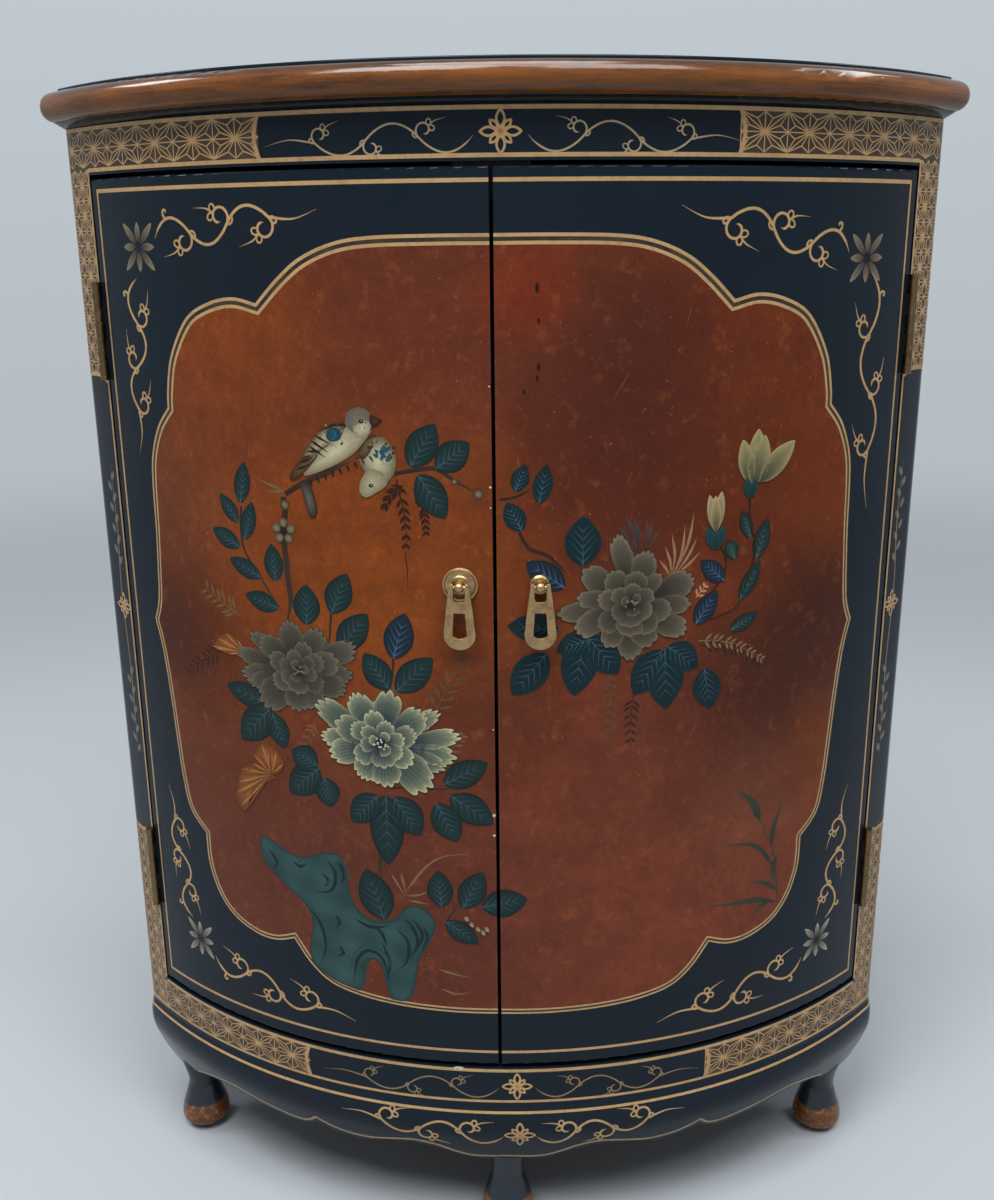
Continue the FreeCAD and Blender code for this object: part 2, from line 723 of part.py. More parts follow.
def scallop_cutter():
    """The space under the apron's lower edge, seen from the front and laid out along the bow."""

    def at(place):
        angle = place[0] / scallop_span * radians(corner_angle)
        return Vector(bow_radius * sin(angle), 0, apron_bottom + place[1])

    stretches = [
        (scallop_shoulder, scallop_arch, scallop_lobe), (scallop_lobe, scallop_rise, scallop_cusp),
        (scallop_cusp, scallop_fall, scallop_dip), (scallop_dip, scallop_swing, scallop_crown),
        (scallop_crown, scallop_drop, scallop_end),
    ]
    middle = Vector(0, 0, at(scallop_flat).z)
    right = [Part.makeLine(middle, at(scallop_flat)), Part.makeLine(at(scallop_flat), at(scallop_shoulder))]
    right += [Part.Arc(at(a), at(b), at(c)).toShape() for a, b, c in stretches]
    left = [mirrored(edge) for edge in right]
    end = at(scallop_end)
    low = Vector(end.x, 0, 0)
    low_left = Vector(-end.x, 0, 0)
    under = [Part.makeLine(end, low), Part.makeLine(low, low_left)]
    under.append(Part.makeLine(low_left, Vector(-end.x, 0, end.z)))
    wire = Part.Wire(Part.__sortEdges__(right + left + under))
    cutter = Part.Face(wire).extrude(Vector(0, bow_radius, 0))
    cutter.translate(Vector(0, face_y - top_overhang, 0))
    return cutter


apron = apron.cut(scallop_cutter())
for block, socket in zip(blocks, leg_sockets):
    apron = apron.cut(block).cut(socket)
pieces["apron"] = lump(apron)

skirt = side_box(post_size, side_corner - return_length, 0, skirt_thickness, skirt_bottom, base_height)
skirt_room = side_box(0, far, -far, skirt_thickness, block_bottom, base_height)
fitted = []
for block, socket in zip(blocks, leg_sockets):
    block = block.cut(socket).cut(skirt_room).cut(mirrored(skirt_room))
    fitted.append(lump(block))
pieces["leg_blocks"] = Part.makeCompound(fitted)
pieces["side_skirt_right"] = skirt
pieces["side_skirt_left"] = mirrored(skirt)

os.makedirs("parts", exist_ok=True)
for name, shape in sorted(pieces.items()):
    shape.exportStep(f"parts/{name}.step")
    print(f"{name}: {len(shape.Solids)} solid, {shape.Volume / 1000:.2f} cm3, valid {shape.isValid()}")
box = Part.makeCompound(list(pieces.values())).BoundBox
print(f"{len(pieces)} nodes, {box.XLength:.2f} x {box.YLength:.2f} x {box.ZLength:.2f} mm")
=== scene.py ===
"""Looks of a black lacquer corner cabinet with a bow front, gold borders and painted doors.

The file is laid out as a Blender add-on: one operator for each group of pieces, one for the stage.
Paint is drawn flat, in millimetres along the bow and up from the floor, and then laid on the front.
"""

import json
from math import atan2, cos, hypot, pi, radians, sin, sqrt
from random import Random

import bpy
from mathutils import Matrix, Vector

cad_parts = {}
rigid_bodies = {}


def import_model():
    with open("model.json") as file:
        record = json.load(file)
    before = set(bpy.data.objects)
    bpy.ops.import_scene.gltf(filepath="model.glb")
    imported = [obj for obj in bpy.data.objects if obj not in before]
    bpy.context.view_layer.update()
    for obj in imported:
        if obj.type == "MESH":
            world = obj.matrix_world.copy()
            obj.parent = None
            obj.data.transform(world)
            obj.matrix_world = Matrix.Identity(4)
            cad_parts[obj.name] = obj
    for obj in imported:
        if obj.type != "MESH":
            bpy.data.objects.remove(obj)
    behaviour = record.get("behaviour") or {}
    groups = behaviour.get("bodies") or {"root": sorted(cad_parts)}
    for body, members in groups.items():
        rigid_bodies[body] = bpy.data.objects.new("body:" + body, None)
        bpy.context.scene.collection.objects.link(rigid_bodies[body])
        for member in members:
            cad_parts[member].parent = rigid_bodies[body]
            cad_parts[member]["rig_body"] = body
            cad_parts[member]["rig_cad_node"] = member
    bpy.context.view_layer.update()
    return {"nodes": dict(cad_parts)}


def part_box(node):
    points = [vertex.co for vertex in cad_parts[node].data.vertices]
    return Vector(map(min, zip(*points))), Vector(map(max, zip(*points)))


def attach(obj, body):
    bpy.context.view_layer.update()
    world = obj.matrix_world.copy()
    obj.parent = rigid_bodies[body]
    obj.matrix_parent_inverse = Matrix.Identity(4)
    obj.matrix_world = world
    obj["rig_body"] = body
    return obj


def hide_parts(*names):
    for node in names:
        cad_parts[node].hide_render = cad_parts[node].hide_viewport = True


bl_info = {
    "name": "Bow-front corner cabinet",
    "version": (1, 0, 0),
    "blender": (4, 5, 0),
    "location": "3D View > Sidebar > Cabinet",
    "description": "Lacquer, gold ornament and painted flowers around a packed corner cabinet",
    "category": "Object",
}

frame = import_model()


def colour(red, green, blue):
    """A scene-linear colour from display values of 0 to 255."""
    linear = []
    for value in (red, green, blue):
        share = value / 255
        linear.append(share / 12.92 if share < 0.04045 else ((share + 0.055) / 1.055) ** 2.4)
    return tuple(linear)


def tint_property(name, description, default):
    return bpy.props.FloatVectorProperty(
        name=name, description=description, default=default, subtype="COLOR", size=3, min=0.0, max=1.0)


def length_property(name, description, default):
    return bpy.props.FloatProperty(
        name=name, description=description, default=default, unit="LENGTH", min=0.0)


class CabinetFinish(bpy.types.PropertyGroup):
    """Colours of the cabinet's finishes"""
    lacquer: tint_property("Lacquer", "Blue-black ground of the cabinet", colour(17, 28, 38))
    gold: tint_property("Gold", "Gold paint of the lines and scrolls", colour(190, 152, 103))
    lattice_ground: tint_property("Lattice ground", "Brown under the hemp-leaf bands", colour(44, 32, 21))
    cinnabar: tint_property("Cinnabar", "Warm ground of the painted panels", colour(122, 58, 28))
    moulding: tint_property("Moulding", "Brown of the top moulding and the toes", colour(112, 63, 20))
    # The moulding shade also gives the painted shade along the moulding's upper edge.
    moulding_dark: tint_property("Moulding shade", "Dark grain of the moulding", colour(38, 23, 13))
    brass: tint_property("Brass", "Aged brass of pulls and hinges", colour(185, 152, 108))
    timber: tint_property("Timber", "Plain wood inside", colour(150, 112, 74))
    backdrop: tint_property("Backdrop", "Pale floor and backdrop", colour(163, 169, 174))
    haze: tint_property("Haze", "Pale upper part of the backdrop", colour(192, 201, 207))


class CabinetSizes(bpy.types.PropertyGroup):
    """Sizes of the ornament"""
    paint_lift: length_property("Paint height", "Height of the paint over the lacquer", 0.00005)
    border_line: length_property("Border line", "Width of the gold border lines", 0.0028)
    scroll_line: length_property("Scroll line", "Width of the gold scrolls", 0.0021)
    lattice_line: length_property("Lattice line", "Width of the hemp-leaf lines", 0.00084)
    toe_height: length_property("Toe height", "Height of the brown paint on the legs", 0.027)


# Places on the front, in millimetres, from the same plan as the solids

SIDES = (-1, 1)
BOW_RADIUS = 453.0
BOW_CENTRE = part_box("bottom_rail")[0].y * 1000 + BOW_RADIUS
CORNER_RADIUS = 20.0
CORNER_X = 320.0
CORNER_Y = -sqrt((BOW_RADIUS - CORNER_RADIUS) ** 2 - CORNER_X ** 2)
CORNER_ANGLE = atan2(CORNER_X, -CORNER_Y)
CORNER_ARC = CORNER_ANGLE * BOW_RADIUS
FRONT_END = 500.0
SEAM_ARC = -4.8
SEAM_HALF = 1.0
SEAM_MARGIN = 0.4

# Each door's side of the front, and the arc lengths between which its paint is kept

DOORS = {
    "left": (-1, (-FRONT_END, SEAM_ARC - SEAM_HALF - SEAM_MARGIN)),
    "right": (1, (SEAM_ARC + SEAM_HALF + SEAM_MARGIN, FRONT_END)),
}


def on_front(arc, height, lift):
    """The point, in metres, at an arc length from the bow's middle, past its end round the corner."""
    run = abs(arc)
    if run <= CORNER_ARC:
        reach = BOW_RADIUS + lift
        angle = run / BOW_RADIUS
        x = reach * sin(angle)
        y = -reach * cos(angle)
    else:
        reach = CORNER_RADIUS + lift
        angle = CORNER_ANGLE + (run - CORNER_ARC) / CORNER_RADIUS
        x = CORNER_X + reach * sin(angle)
        y = CORNER_Y - reach * cos(angle)
    side = 1 if arc >= 0 else -1
    return (side * x / 1000, (BOW_CENTRE + y) / 1000, height / 1000)


def flat_face(height):
    """The face of doors, rails and stiles stands on the bow itself."""
    return 0.0


def arc_offset(height, low, middle, high):
    """Offset at a height on the circle through three points of (offset, height)."""
    (ax, ay), (bx, by), (cx, cy) = low, middle, high
    a, b, c = (x * x + y * y for x, y in (low, middle, high))
    double = 2 * (ax * (by - cy) + bx * (cy - ay) + cx * (ay - by))
    centre = (a * (by - cy) + b * (cy - ay) + c * (ay - by)) / double
    level = (a * (cx - bx) + b * (ax - cx) + c * (bx - ax)) / double
    radius = hypot(ax - centre, ay - level)
    side = 1 if bx > centre else -1
    return centre + side * sqrt(max(radius ** 2 - (height - level) ** 2, 0.0))


APRON_TOP = (0.0, 134.0)
APRON_SWELL = (3.0, 116.0)
APRON_WAIST = (-1.0, 97.0)
APRON_KNEE = (-7.5, 80.0)
APRON_FOOT = (-17.0, 60.0)


def apron_face(height):
    """How far the swelling apron stands out of the bow at a height."""
    if height > APRON_WAIST[1]:
        return arc_offset(height, APRON_WAIST, APRON_SWELL, APRON_TOP)
    return arc_offset(height, APRON_FOOT, APRON_KNEE, APRON_WAIST)


# Lines and brush marks, drawn flat

ROUND_SIDES = 12


def smooth_line(points, step=4.0):
    """A curve through points, cut into short runs."""
    if len(points) < 3:
        start, end = points[0], points[-1]
        count = max(1, round(hypot(end[0] - start[0], end[1] - start[1]) / step))
        return [tuple(a + (b - a) * i / count for a, b in zip(start, end)) for i in range(count + 1)]
    line = []
    padded = [points[0], *points, points[-1]]
    for before, start, end, after in zip(padded, padded[1:], padded[2:], padded[3:]):
        count = max(2, round(hypot(end[0] - start[0], end[1] - start[1]) / step))
        for i in range(count):
            t = i / count
            spot = []
            for a, b, c, d in zip(before, start, end, after):
                bend = 2 * a - 5 * b + 4 * c - d
                swing = 3 * b - a - 3 * c + d
                spot.append(0.5 * (2 * b + (c - a) * t + bend * t * t + swing * t ** 3))
            line.append(tuple(spot))
    line.append(tuple(points[-1]))
    return line


def closed(outline, step):
    """A smooth closed outline through points."""
    return smooth_line(outline + outline[:1], step)[:-1]


def chain(curves, step):
    """The points of curves that follow each other."""
    line = []
    for curve in curves:
        line += smooth_line(curve, step)[:-1]
    return line + [curves[-1][-1]]


def along(points):
    """Share of the whole length at each point of a line."""
    runs = [0.0]
    for (ax, ay), (bx, by) in zip(points, points[1:]):
        runs.append(runs[-1] + hypot(bx - ax, by - ay))
    return [run / max(runs[-1], 1e-6) for run in runs]


def heading(start, end):
    return atan2(end[1] - start[1], end[0] - start[0])


def beside(points, distance):
    """A line shifted to its left by a distance, or by one for each point, with mitred corners."""
    reach = distance if isinstance(distance, list) else [distance] * len(points)
    last = len(points) - 1
    shifted = []
    for i, (x, y) in enumerate(points):
        into = heading(points[max(i - 1, 0)], points[max(i, 1)])
        out = heading(points[min(i, last - 1)], points[min(i + 1, last)])
        turn = (out - into + pi) % (2 * pi) - pi
        miter = reach[i] / max(cos(turn / 2), 0.5)
        shifted.append((x - sin(into + turn / 2) * miter, y + cos(into + turn / 2) * miter))
    return shifted


def mix(first, second, share):
    """Two colours, or two points, mixed by a share."""
    return tuple(a + (b - a) * share for a, b in zip(first, second))


def polar(centre, reach, angle):
    return (centre[0] + reach * cos(angle), centre[1] + reach * sin(angle))


def turned(point, centre, angle):
    x, y = point[0] - centre[0], point[1] - centre[1]
    return (centre[0] + x * cos(angle) - y * sin(angle), centre[1] + x * sin(angle) + y * cos(angle))


def oval(centre, radius, stretch, angle):
    """A round outline, stretched along an angle."""
    points = []
    for i in range(ROUND_SIDES):
        turn = 2 * pi * i / ROUND_SIDES
        spot = (centre[0] + radius * stretch * cos(turn), centre[1] + radius * sin(turn))
        points.append(turned(spot, centre, angle))
    return points


def between(side, one, other):
    """Two arc lengths on one side of the front, the lower one first."""
    return sorted((side * one, side * other))


def clipped(corners, place, keep_above):
    """A polygon of (arc, height, lift, colour) corners, cut off at an arc length."""
    kept = []
    for first, second in zip(corners, corners[1:] + corners[:1]):
        inside = (first[0] >= place) == keep_above
        next_inside = (second[0] >= place) == keep_above
        if inside:
            kept.append(first)
        if inside != next_inside:
            share = (place - first[0]) / (second[0] - first[0])
            height = first[1] + (second[1] - first[1]) * share
            kept.append((place, height, first[2], mix(first[3], second[3], share)))
    return kept


class Paint:
    """Brush marks for one mesh: faces of (arc, height, layer, colour) corners."""

    layer_step = 0.002
    stroke_steps = 6
    thinnest = 0.12
    film_lifts = 3

    def __init__(self, face=flat_face):
        self.face = face
        self.marks = []
        self.layer = 0.0
        self.stroke_count = 0

    def rise(self, steps=1):
        """Later marks lie over the earlier ones."""
        self.layer += steps * self.layer_step

    def rise_over_strokes(self):
        self.rise(self.stroke_steps)

    def face_mark(self, corners, tints):
        area = sum(a[0] * b[1] - b[0] * a[1] for a, b in zip(corners, corners[1:] + corners[:1]))
        mark = [(x, y, self.layer, tint) for (x, y), tint in zip(corners, tints)]
        self.marks.append(mark if area > 0 else mark[::-1])

    def grid(self, rows, tints):
        """Quads between rows of points, with a colour at each point."""
        for low, high, low_tints, high_tints in zip(rows, rows[1:], tints, tints[1:]):
            for i in range(len(low) - 1):
                corners = [low[i], low[i + 1], high[i + 1], high[i]]
                self.face_mark(corners, [low_tints[i], low_tints[i + 1], high_tints[i + 1], high_tints[i]])

    def plain_grid(self, rows, tint):
        self.grid(rows, [[tint] * len(row) for row in rows])

    def stroke(self, points, width, tint, taper=(0.0, 0.0), fade=None, step=4.0):
        """A brush stroke along a smooth line, thinned at its ends and faded to a second colour."""
        line = smooth_line(points, step)
        sides = []
        tints = []
        below = self.layer
        self.stroke_count += 1
        self.layer += self.layer_step * (self.stroke_count % self.stroke_steps)
        for i, share in enumerate(along(line)):
            swell = 1.0
            for thin, run in zip(taper, (share, 1 - share)):
                if thin:
                    swell = min(swell, run / thin)
            half = width / 2 * max(swell, self.thinnest)
            near = line[max(i - 1, 0):i + 2]
            spot = min(i, 1)
            sides.append((beside(near, half)[spot], beside(near, -half)[spot]))
            shade = mix(tint, fade, share) if fade else tint
            tints.append((shade, shade))
        self.grid(sides, tints)
        self.layer = below

    def blob(self, outline, rim, heart):
        """A filled round shape, shaded from its heart to its rim."""
        count = len(outline)
        cx = sum(p[0] for p in outline) / count
        cy = sum(p[1] for p in outline) / count
        half_way = [((x + cx) / 2, (y + cy) / 2) for x, y in outline]
        middle = mix(rim, heart, 0.55)
        for i in range(count):
            j = (i + 1) % count
            self.face_mark([outline[i], outline[j], half_way[j], half_way[i]], [rim, rim, middle, middle])
            self.face_mark([half_way[i], half_way[j], (cx, cy)], [middle, middle, heart])

    def dot(self, centre, radius, rim, heart=None, stretch=1.0, angle=0.0):
        self.blob(oval(centre, radius, stretch, angle), rim, heart or rim)

    def ring(self, centre, radius, width, tint, stretch=1.0, angle=0.0):
        points = oval(centre, radius, stretch, angle)
        self.stroke(points + points[:1], width, tint, step=radius)

    def lay(self, name, body, material, slot, keep=(-FRONT_END, FRONT_END)):
        """Lays the marks between two arc lengths on the front, as thin closed films on one body."""
        lift = bpy.context.scene.cabinet_sizes.paint_lift
        base = lift * 1000
        corners = []
        tints = []
        faces = []
        places = {}
        for mark in self.marks:
            cut = clipped(clipped(mark, keep[0], True), keep[1], False)
            if len(cut) < 3:
                continue
            face = []
            for arc, height, layer, tint in cut:
                key = (round(arc, 3), round(height, 3), round(layer, 4))
                if key not in places:
                    places[key] = len(corners)
                    corners.append(on_front(arc, height, self.face(height) + base + layer))
                    tints.extend((*tint, 1.0))
                if places[key] not in face:
                    face.append(places[key])
            if len(face) > 2:
                faces.append(face)
        mesh = bpy.data.meshes.new(name)
        mesh.from_pydata(corners, [], faces)
        mesh.color_attributes.new("paint", "FLOAT_COLOR", "POINT").data.foreach_set("color", tints)
        piece = bpy.data.objects.new(name, mesh)
        bpy.context.scene.collection.objects.link(piece)
        mesh.materials.append(material)
        select_only(piece)
        highest = max(mark[0][2] for mark in self.marks)
        apply_modifier(piece, "SOLIDIFY", thickness=lift * self.film_lifts + highest / 1000, offset=-1.0)
        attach(piece, body)


# Work on objects

MERGE_DISTANCE = 0.000002
EDGE_ANGLE = radians(40)
FLARE_SIDES = 48
FLARE_SOLE = 0.002
FLARE_STEP = 0.8

# Spread of a leg into the apron: height and radius, in millimetres

ANKLE_FLARE = [
    (40, 12.6), (44, 13.9), (48, 13.8), (53, 14.1), (58, 14.9),
    (63, 16.1), (68, 17.5), (73, 18.7), (77, 19.2),
]
FRONT_FLARE = [
    (40, 12.6), (44, 13.9), (48, 13.7), (54, 13.8),
    (60, 14.1), (67, 14.8), (74, 15.7), (80, 16.3),
]


def select_only(*pieces):
    bpy.ops.object.select_all(action="DESELECT")
    for piece in pieces:
        piece.select_set(True)
    bpy.context.view_layer.objects.active = pieces[-1]


def apply_modifier(piece, kind, **settings):
    """Adds a modifier to the active piece, sets it and applies it."""
    bpy.ops.object.modifier_add(type=kind)
    modifier = piece.modifiers[-1]
    for name, value in settings.items():
        setattr(modifier, name, value)
    bpy.ops.object.modifier_apply(modifier=modifier.name)


def smooth_copy(node, material, angle=30, edge=0.0):
    """A merged, smoothly shaded copy that stands for a CAD node, with its edges softened if asked."""
    original = frame["nodes"][node]
    body = original["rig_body"]
    select_only(original)
    bpy.ops.object.duplicate()
    piece = bpy.context.view_layer.objects.active
    piece.name = f"{node}_finish"
    del piece["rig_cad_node"]
    bpy.ops.mesh.customdata_custom_splitnormals_clear()
    bpy.ops.object.mode_set(mode="EDIT")
    bpy.ops.mesh.select_all(action="SELECT")
    bpy.ops.mesh.remove_doubles(threshold=MERGE_DISTANCE)
    bpy.ops.object.mode_set(mode="OBJECT")
    if edge:
        apply_modifier(piece, "BEVEL", width=edge, segments=3, limit_method="ANGLE", angle_limit=EDGE_ANGLE)
    bpy.ops.object.shade_smooth_by_angle(angle=radians(angle))
    apply_modifier(piece, "WEIGHTED_NORMAL", keep_sharp=True)
    piece.data.materials.clear()
    piece.data.materials.append(material)
    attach(piece, body)
    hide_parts(node)


def ankle_flare(side, profile, material):
    """The top of a leg, spreading into the apron."""
    low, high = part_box(f"leg_{side}")
    x, y = (low.x + high.x) / 2, (low.y + high.y) / 2
    bpy.ops.object.select_all(action="DESELECT")
    foot, radius = profile[0]
    bpy.ops.mesh.primitive_cylinder_add(
        vertices=FLARE_SIDES, radius=radius / 1000, depth=FLARE_SOLE,
        location=(x, y, foot / 1000 - FLARE_SOLE / 2))
    flare = bpy.context.active_object
    flare.name = f"ankle_flare_{side}"
    bpy.ops.object.transform_apply(location=True)
    for face in flare.data.polygons:
        face.select = face.normal.z > 0.9
    bpy.ops.object.mode_set(mode="EDIT")
    bpy.ops.mesh.select_mode(type="FACE")
    rings = smooth_line(profile, FLARE_STEP)
    for (height, radius), (next_height, next_radius) in zip(rings, rings[1:]):
        rise = (0, 0, (next_height - height) / 1000)
        bpy.ops.mesh.extrude_region_move(TRANSFORM_OT_translate={"value": rise})
        grow = next_radius / radius
        bpy.ops.transform.resize(value=(grow, grow, 1), center_override=(x, y, next_height / 1000))
    bpy.ops.object.mode_set(mode="OBJECT")
    bpy.ops.object.shade_smooth_by_angle(angle=EDGE_ANGLE)
    flare.data.materials.append(material)
    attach(flare, "carcass")


def finish_node(node, material):
    """A new material on a CAD node that keeps its own mesh."""
    mesh = frame["nodes"][node].data
    mesh.materials.clear()
    mesh.materials.append(material)


# Materials

def seen_rays(tree):
    """One for rays that come from the camera, from gloss or through glass."""
    path = tree.nodes.new("ShaderNodeLightPath").outputs
    seen = path["Is Camera Ray"]
    for ray in ("Is Glossy Ray", "Is Transmission Ray"):
        either = tree.nodes.new("ShaderNodeMath")
        tree.links.new(seen, either.inputs[0])
        tree.links.new(path[ray], either.inputs[1])
        seen = either.outputs["Value"]
    return seen


def mix_shaders(tree, share, first, second, output):
    both = tree.nodes.new("ShaderNodeMixShader")
    tree.links.new(share, both.inputs["Fac"])
    tree.links.new(first, both.inputs[1])
    tree.links.new(second, both.inputs[2])
    tree.links.new(both.outputs["Shader"], tree.nodes[output].inputs["Surface"])


class Nodes:
    """A material's node tree, with short ways to add the few kinds of node used here."""

    def __init__(self, name):
        self.material = bpy.data.materials.new(name)
        self.material.use_nodes = True
        self.tree = self.material.node_tree
        self.shader = self.tree.nodes["Principled BSDF"]
        self.place = self.tree.nodes.new("ShaderNodeTexCoord").outputs["Object"]

    def link(self, start, end):
        self.tree.links.new(start, end)

    def stretched(self, scale):
        mapping = self.tree.nodes.new("ShaderNodeMapping")
        mapping.inputs["Scale"].default_value = scale
        self.link(self.place, mapping.inputs["Vector"])
        return mapping.outputs["Vector"]

    def height(self):
        split = self.tree.nodes.new("ShaderNodeSeparateXYZ")
        self.link(self.place, split.inputs["Vector"])
        return split.outputs["Z"]

    def noise(self, scale, detail=4.0, roughness=0.55, stretch=None):
        noise = self.tree.nodes.new("ShaderNodeTexNoise")
        noise.inputs["Scale"].default_value = scale
        noise.inputs["Detail"].default_value = detail
        noise.inputs["Roughness"].default_value = roughness
        self.link(self.stretched(stretch) if stretch else self.place, noise.inputs["Vector"])
        return noise.outputs["Fac"]

    def span(self, value, low, high, first, second):
        """A value mapped from one range to another."""
        node = self.tree.nodes.new("ShaderNodeMapRange")
        for name, number in zip(("From Min", "From Max", "To Min", "To Max"), (low, high, first, second)):
            node.inputs[name].default_value = number
        self.link(value, node.inputs["Value"])
        return node.outputs["Result"]

    def blend(self, share, first, second):
        """Two colours, or sockets, blended by a share."""
        node = self.tree.nodes.new("ShaderNodeMix")
        node.data_type = "RGBA"
        for end, socket in ((first, "A"), (second, "B")):
            place = [i for i in node.inputs if i.name == socket and i.type == "RGBA"][0]
            if isinstance(end, bpy.types.NodeSocket):
                self.link(end, place)
            else:
                place.default_value = (*end, 1.0)
        factor = [i for i in node.inputs if i.name == "Factor" and i.type == "VALUE"][0]
        if isinstance(share, bpy.types.NodeSocket):
            self.link(share, factor)
        else:
            factor.default_value = share
        return [o for o in node.outputs if o.type == "RGBA"][0]

    def over(self, base, tint, value, low, high, share=1.0):
        """A colour laid over another, up to a share, where a value goes from low to high."""
        return self.blend(self.span(value, low, high, 0.0, share), base, tint)

    def combine(self, operation, first, second):
        """Two values added or multiplied."""
        node = self.tree.nodes.new("ShaderNodeMath")
        node.operation = operation
        self.link(first, node.inputs[0])
        self.link(second, node.inputs[1])
        return node.outputs["Value"]

    def bump(self, value, strength, distance):
        node = self.tree.nodes.new("ShaderNodeBump")
        node.inputs["Strength"].default_value = strength
        node.inputs["Distance"].default_value = distance
        self.link(value, node.inputs["Height"])
        self.link(node.outputs["Normal"], self.shader.inputs["Normal"])

    def paint(self):
        node = self.tree.nodes.new("ShaderNodeAttribute")
        node.attribute_name = "paint"
        return node.outputs["Color"]

    def base(self, socket):
        self.link(socket, self.shader.inputs["Base Color"])

    def rough(self, noise, low, high, top=0.7):
        """A roughness that wanders with a noise."""
        self.link(self.span(noise, 0.3, top, low, high), self.shader.inputs["Roughness"])

    def set(self, **values):
        for name, value in values.items():
            self.shader.inputs[name.replace("_", " ")].default_value = value


def lacquer_material(name, dark):
    nodes = Nodes(name)
    base = nodes.over(dark, mix(dark, colour(40, 27, 24), 0.5), nodes.noise(9.0), 0.45, 0.75, 0.35)
    nodes.base(nodes.over(base, colour(74, 78, 84), nodes.noise(900.0, 2.0), 0.70, 0.78, 0.25))
    nodes.rough(nodes.noise(26.0, 5.0), 0.10, 0.2, 0.75)
    nodes.set(Specular_IOR_Level=0.14)
    return nodes.material


def gold_material(name):
    nodes = Nodes(name)
    base = nodes.over(nodes.paint(), colour(118, 90, 62), nodes.noise(30.0, 3.0), 0.35, 0.7, 0.26)
    nodes.base(nodes.over(base, colour(92, 66, 40), nodes.noise(240.0, 5.0), 0.5, 0.78, 0.42))
    nodes.rough(nodes.noise(120.0), 0.34, 0.5)
    nodes.bump(nodes.noise(700.0, 2.0), 0.1, 0.0005)
    nodes.set(Metallic=0.25)
    return nodes.material


def panel_material(name):
    """Mottled warm ground, clouded by hand and rubbed in all directions."""
    nodes = Nodes(name)
    paint = nodes.paint()
    darker = nodes.blend(0.42, paint, colour(62, 26, 16))
    base = nodes.over(darker, paint, nodes.noise(34.0, 8.0, 0.7), 0.35, 0.7)
    pores = nodes.span(nodes.noise(230.0, 6.0, 0.75), 0.42, 0.62, 0.22, 0.0)
    base = nodes.blend(pores, base, colour(58, 26, 16))
    rubbed = nodes.noise(90.0, 6.0, 0.65, (1.0, 1.0, 0.85))
    base = nodes.over(base, colour(176, 98, 52), rubbed, 0.56, 0.75, 0.24)
    nodes.base(nodes.over(base, colour(196, 128, 84), nodes.noise(420.0, 3.0), 0.68, 0.76, 0.42))
    nodes.rough(nodes.noise(40.0, 5.0), 0.2, 0.34)
    nodes.set(Specular_IOR_Level=0.13)
    nodes.bump(nodes.noise(160.0, 4.0), 0.05, 0.0006)
    return nodes.material


def brush_material(name):
    """Colours painted on by hand under the last coat of lacquer."""
    nodes = Nodes(name)
    paint = nodes.paint()
    darker = nodes.blend(0.5, paint, colour(34, 24, 18))
    nodes.base(nodes.over(paint, darker, nodes.noise(300.0, 4.0), 0.45, 0.8, 0.3))
    nodes.rough(nodes.noise(60.0), 0.28, 0.42)
    nodes.set(Specular_IOR_Level=0.13)
    nodes.bump(nodes.noise(900.0, 2.0), 0.06, 0.0004)
    return nodes.material


def moulding_material(name, brown, dark, top):
    """Brown gloss with dark grain, and a painted shade that darkens it towards its upper edge."""
    nodes = Nodes(name)
    grain = nodes.noise(60.0, 8.0, 0.7, (0.35, 0.35, 4.0))
    base = nodes.over(brown, dark, grain, 0.42, 0.68, 0.8)
    pores = nodes.noise(520.0, 3.0, 0.6, (0.6, 0.6, 1.6))
    base = nodes.over(base, colour(30, 18, 13), pores, 0.6, 0.72, 0.55)
    base = nodes.over(base, colour(140, 84, 32), nodes.noise(14.0, 4.0), 0.45, 0.8, 0.45)
    # Painted shade: the colour goes dark towards the moulding's upper edge.
    nodes.base(nodes.over(base, dark, nodes.height(), top - 0.008, top - 0.002, 0.8))
    nodes.rough(nodes.noise(70.0), 0.10, 0.2)
    nodes.set(Specular_IOR_Level=0.36)
    nodes.bump(nodes.noise(420.0, 4.0, 0.6, (0.5, 0.5, 2.0)), 0.06, 0.0004)
    return nodes.material


def leg_material(name, dark, brown, shade, toe):
    """Black lacquer above, rubbed brown toes below."""
    nodes = Nodes(name)
    wander = nodes.span(nodes.noise(90.0, 4.0), 0.2, 0.8, -0.003, 0.003)
    level = nodes.combine("ADD", nodes.height(), wander)
    toes = nodes.over(brown, shade, nodes.noise(80.0, 6.0, 0.7, (1.0, 1.0, 3.0)), 0.4, 0.7, 0.8)
    toes = nodes.over(toes, colour(172, 122, 66), nodes.noise(260.0, 4.0), 0.55, 0.7, 0.7)
    nodes.base(nodes.over(toes, dark, level, toe - 0.0012, toe + 0.0012))
    nodes.rough(nodes.noise(60.0), 0.12, 0.24)
    nodes.bump(nodes.noise(300.0, 3.0), 0.05, 0.0005)
    return nodes.material


def brass_material(name, brass):
    nodes = Nodes(name)
    tarnish = mix(brass, colour(66, 50, 30), 0.75)
    base = nodes.over(brass, tarnish, nodes.noise(160.0, 6.0, 0.65), 0.4, 0.72, 0.75)
    nodes.base(nodes.over(base, colour(220, 200, 158), nodes.noise(420.0, 3.0), 0.6, 0.72, 0.4))
    nodes.rough(nodes.noise(240.0), 0.28, 0.46)
    nodes.bump(nodes.noise(900.0, 3.0), 0.12, 0.0003)
    nodes.set(Metallic=1.0)
    return nodes.material


def steel_material(name):
    nodes = Nodes(name)
    dull = nodes.noise(300.0, 4.0)
    nodes.base(nodes.over(colour(168, 166, 160), colour(120, 116, 108), dull, 0.35, 0.7))
    nodes.rough(nodes.noise(500.0), 0.3, 0.5)
    nodes.set(Metallic=1.0)
    return nodes.material


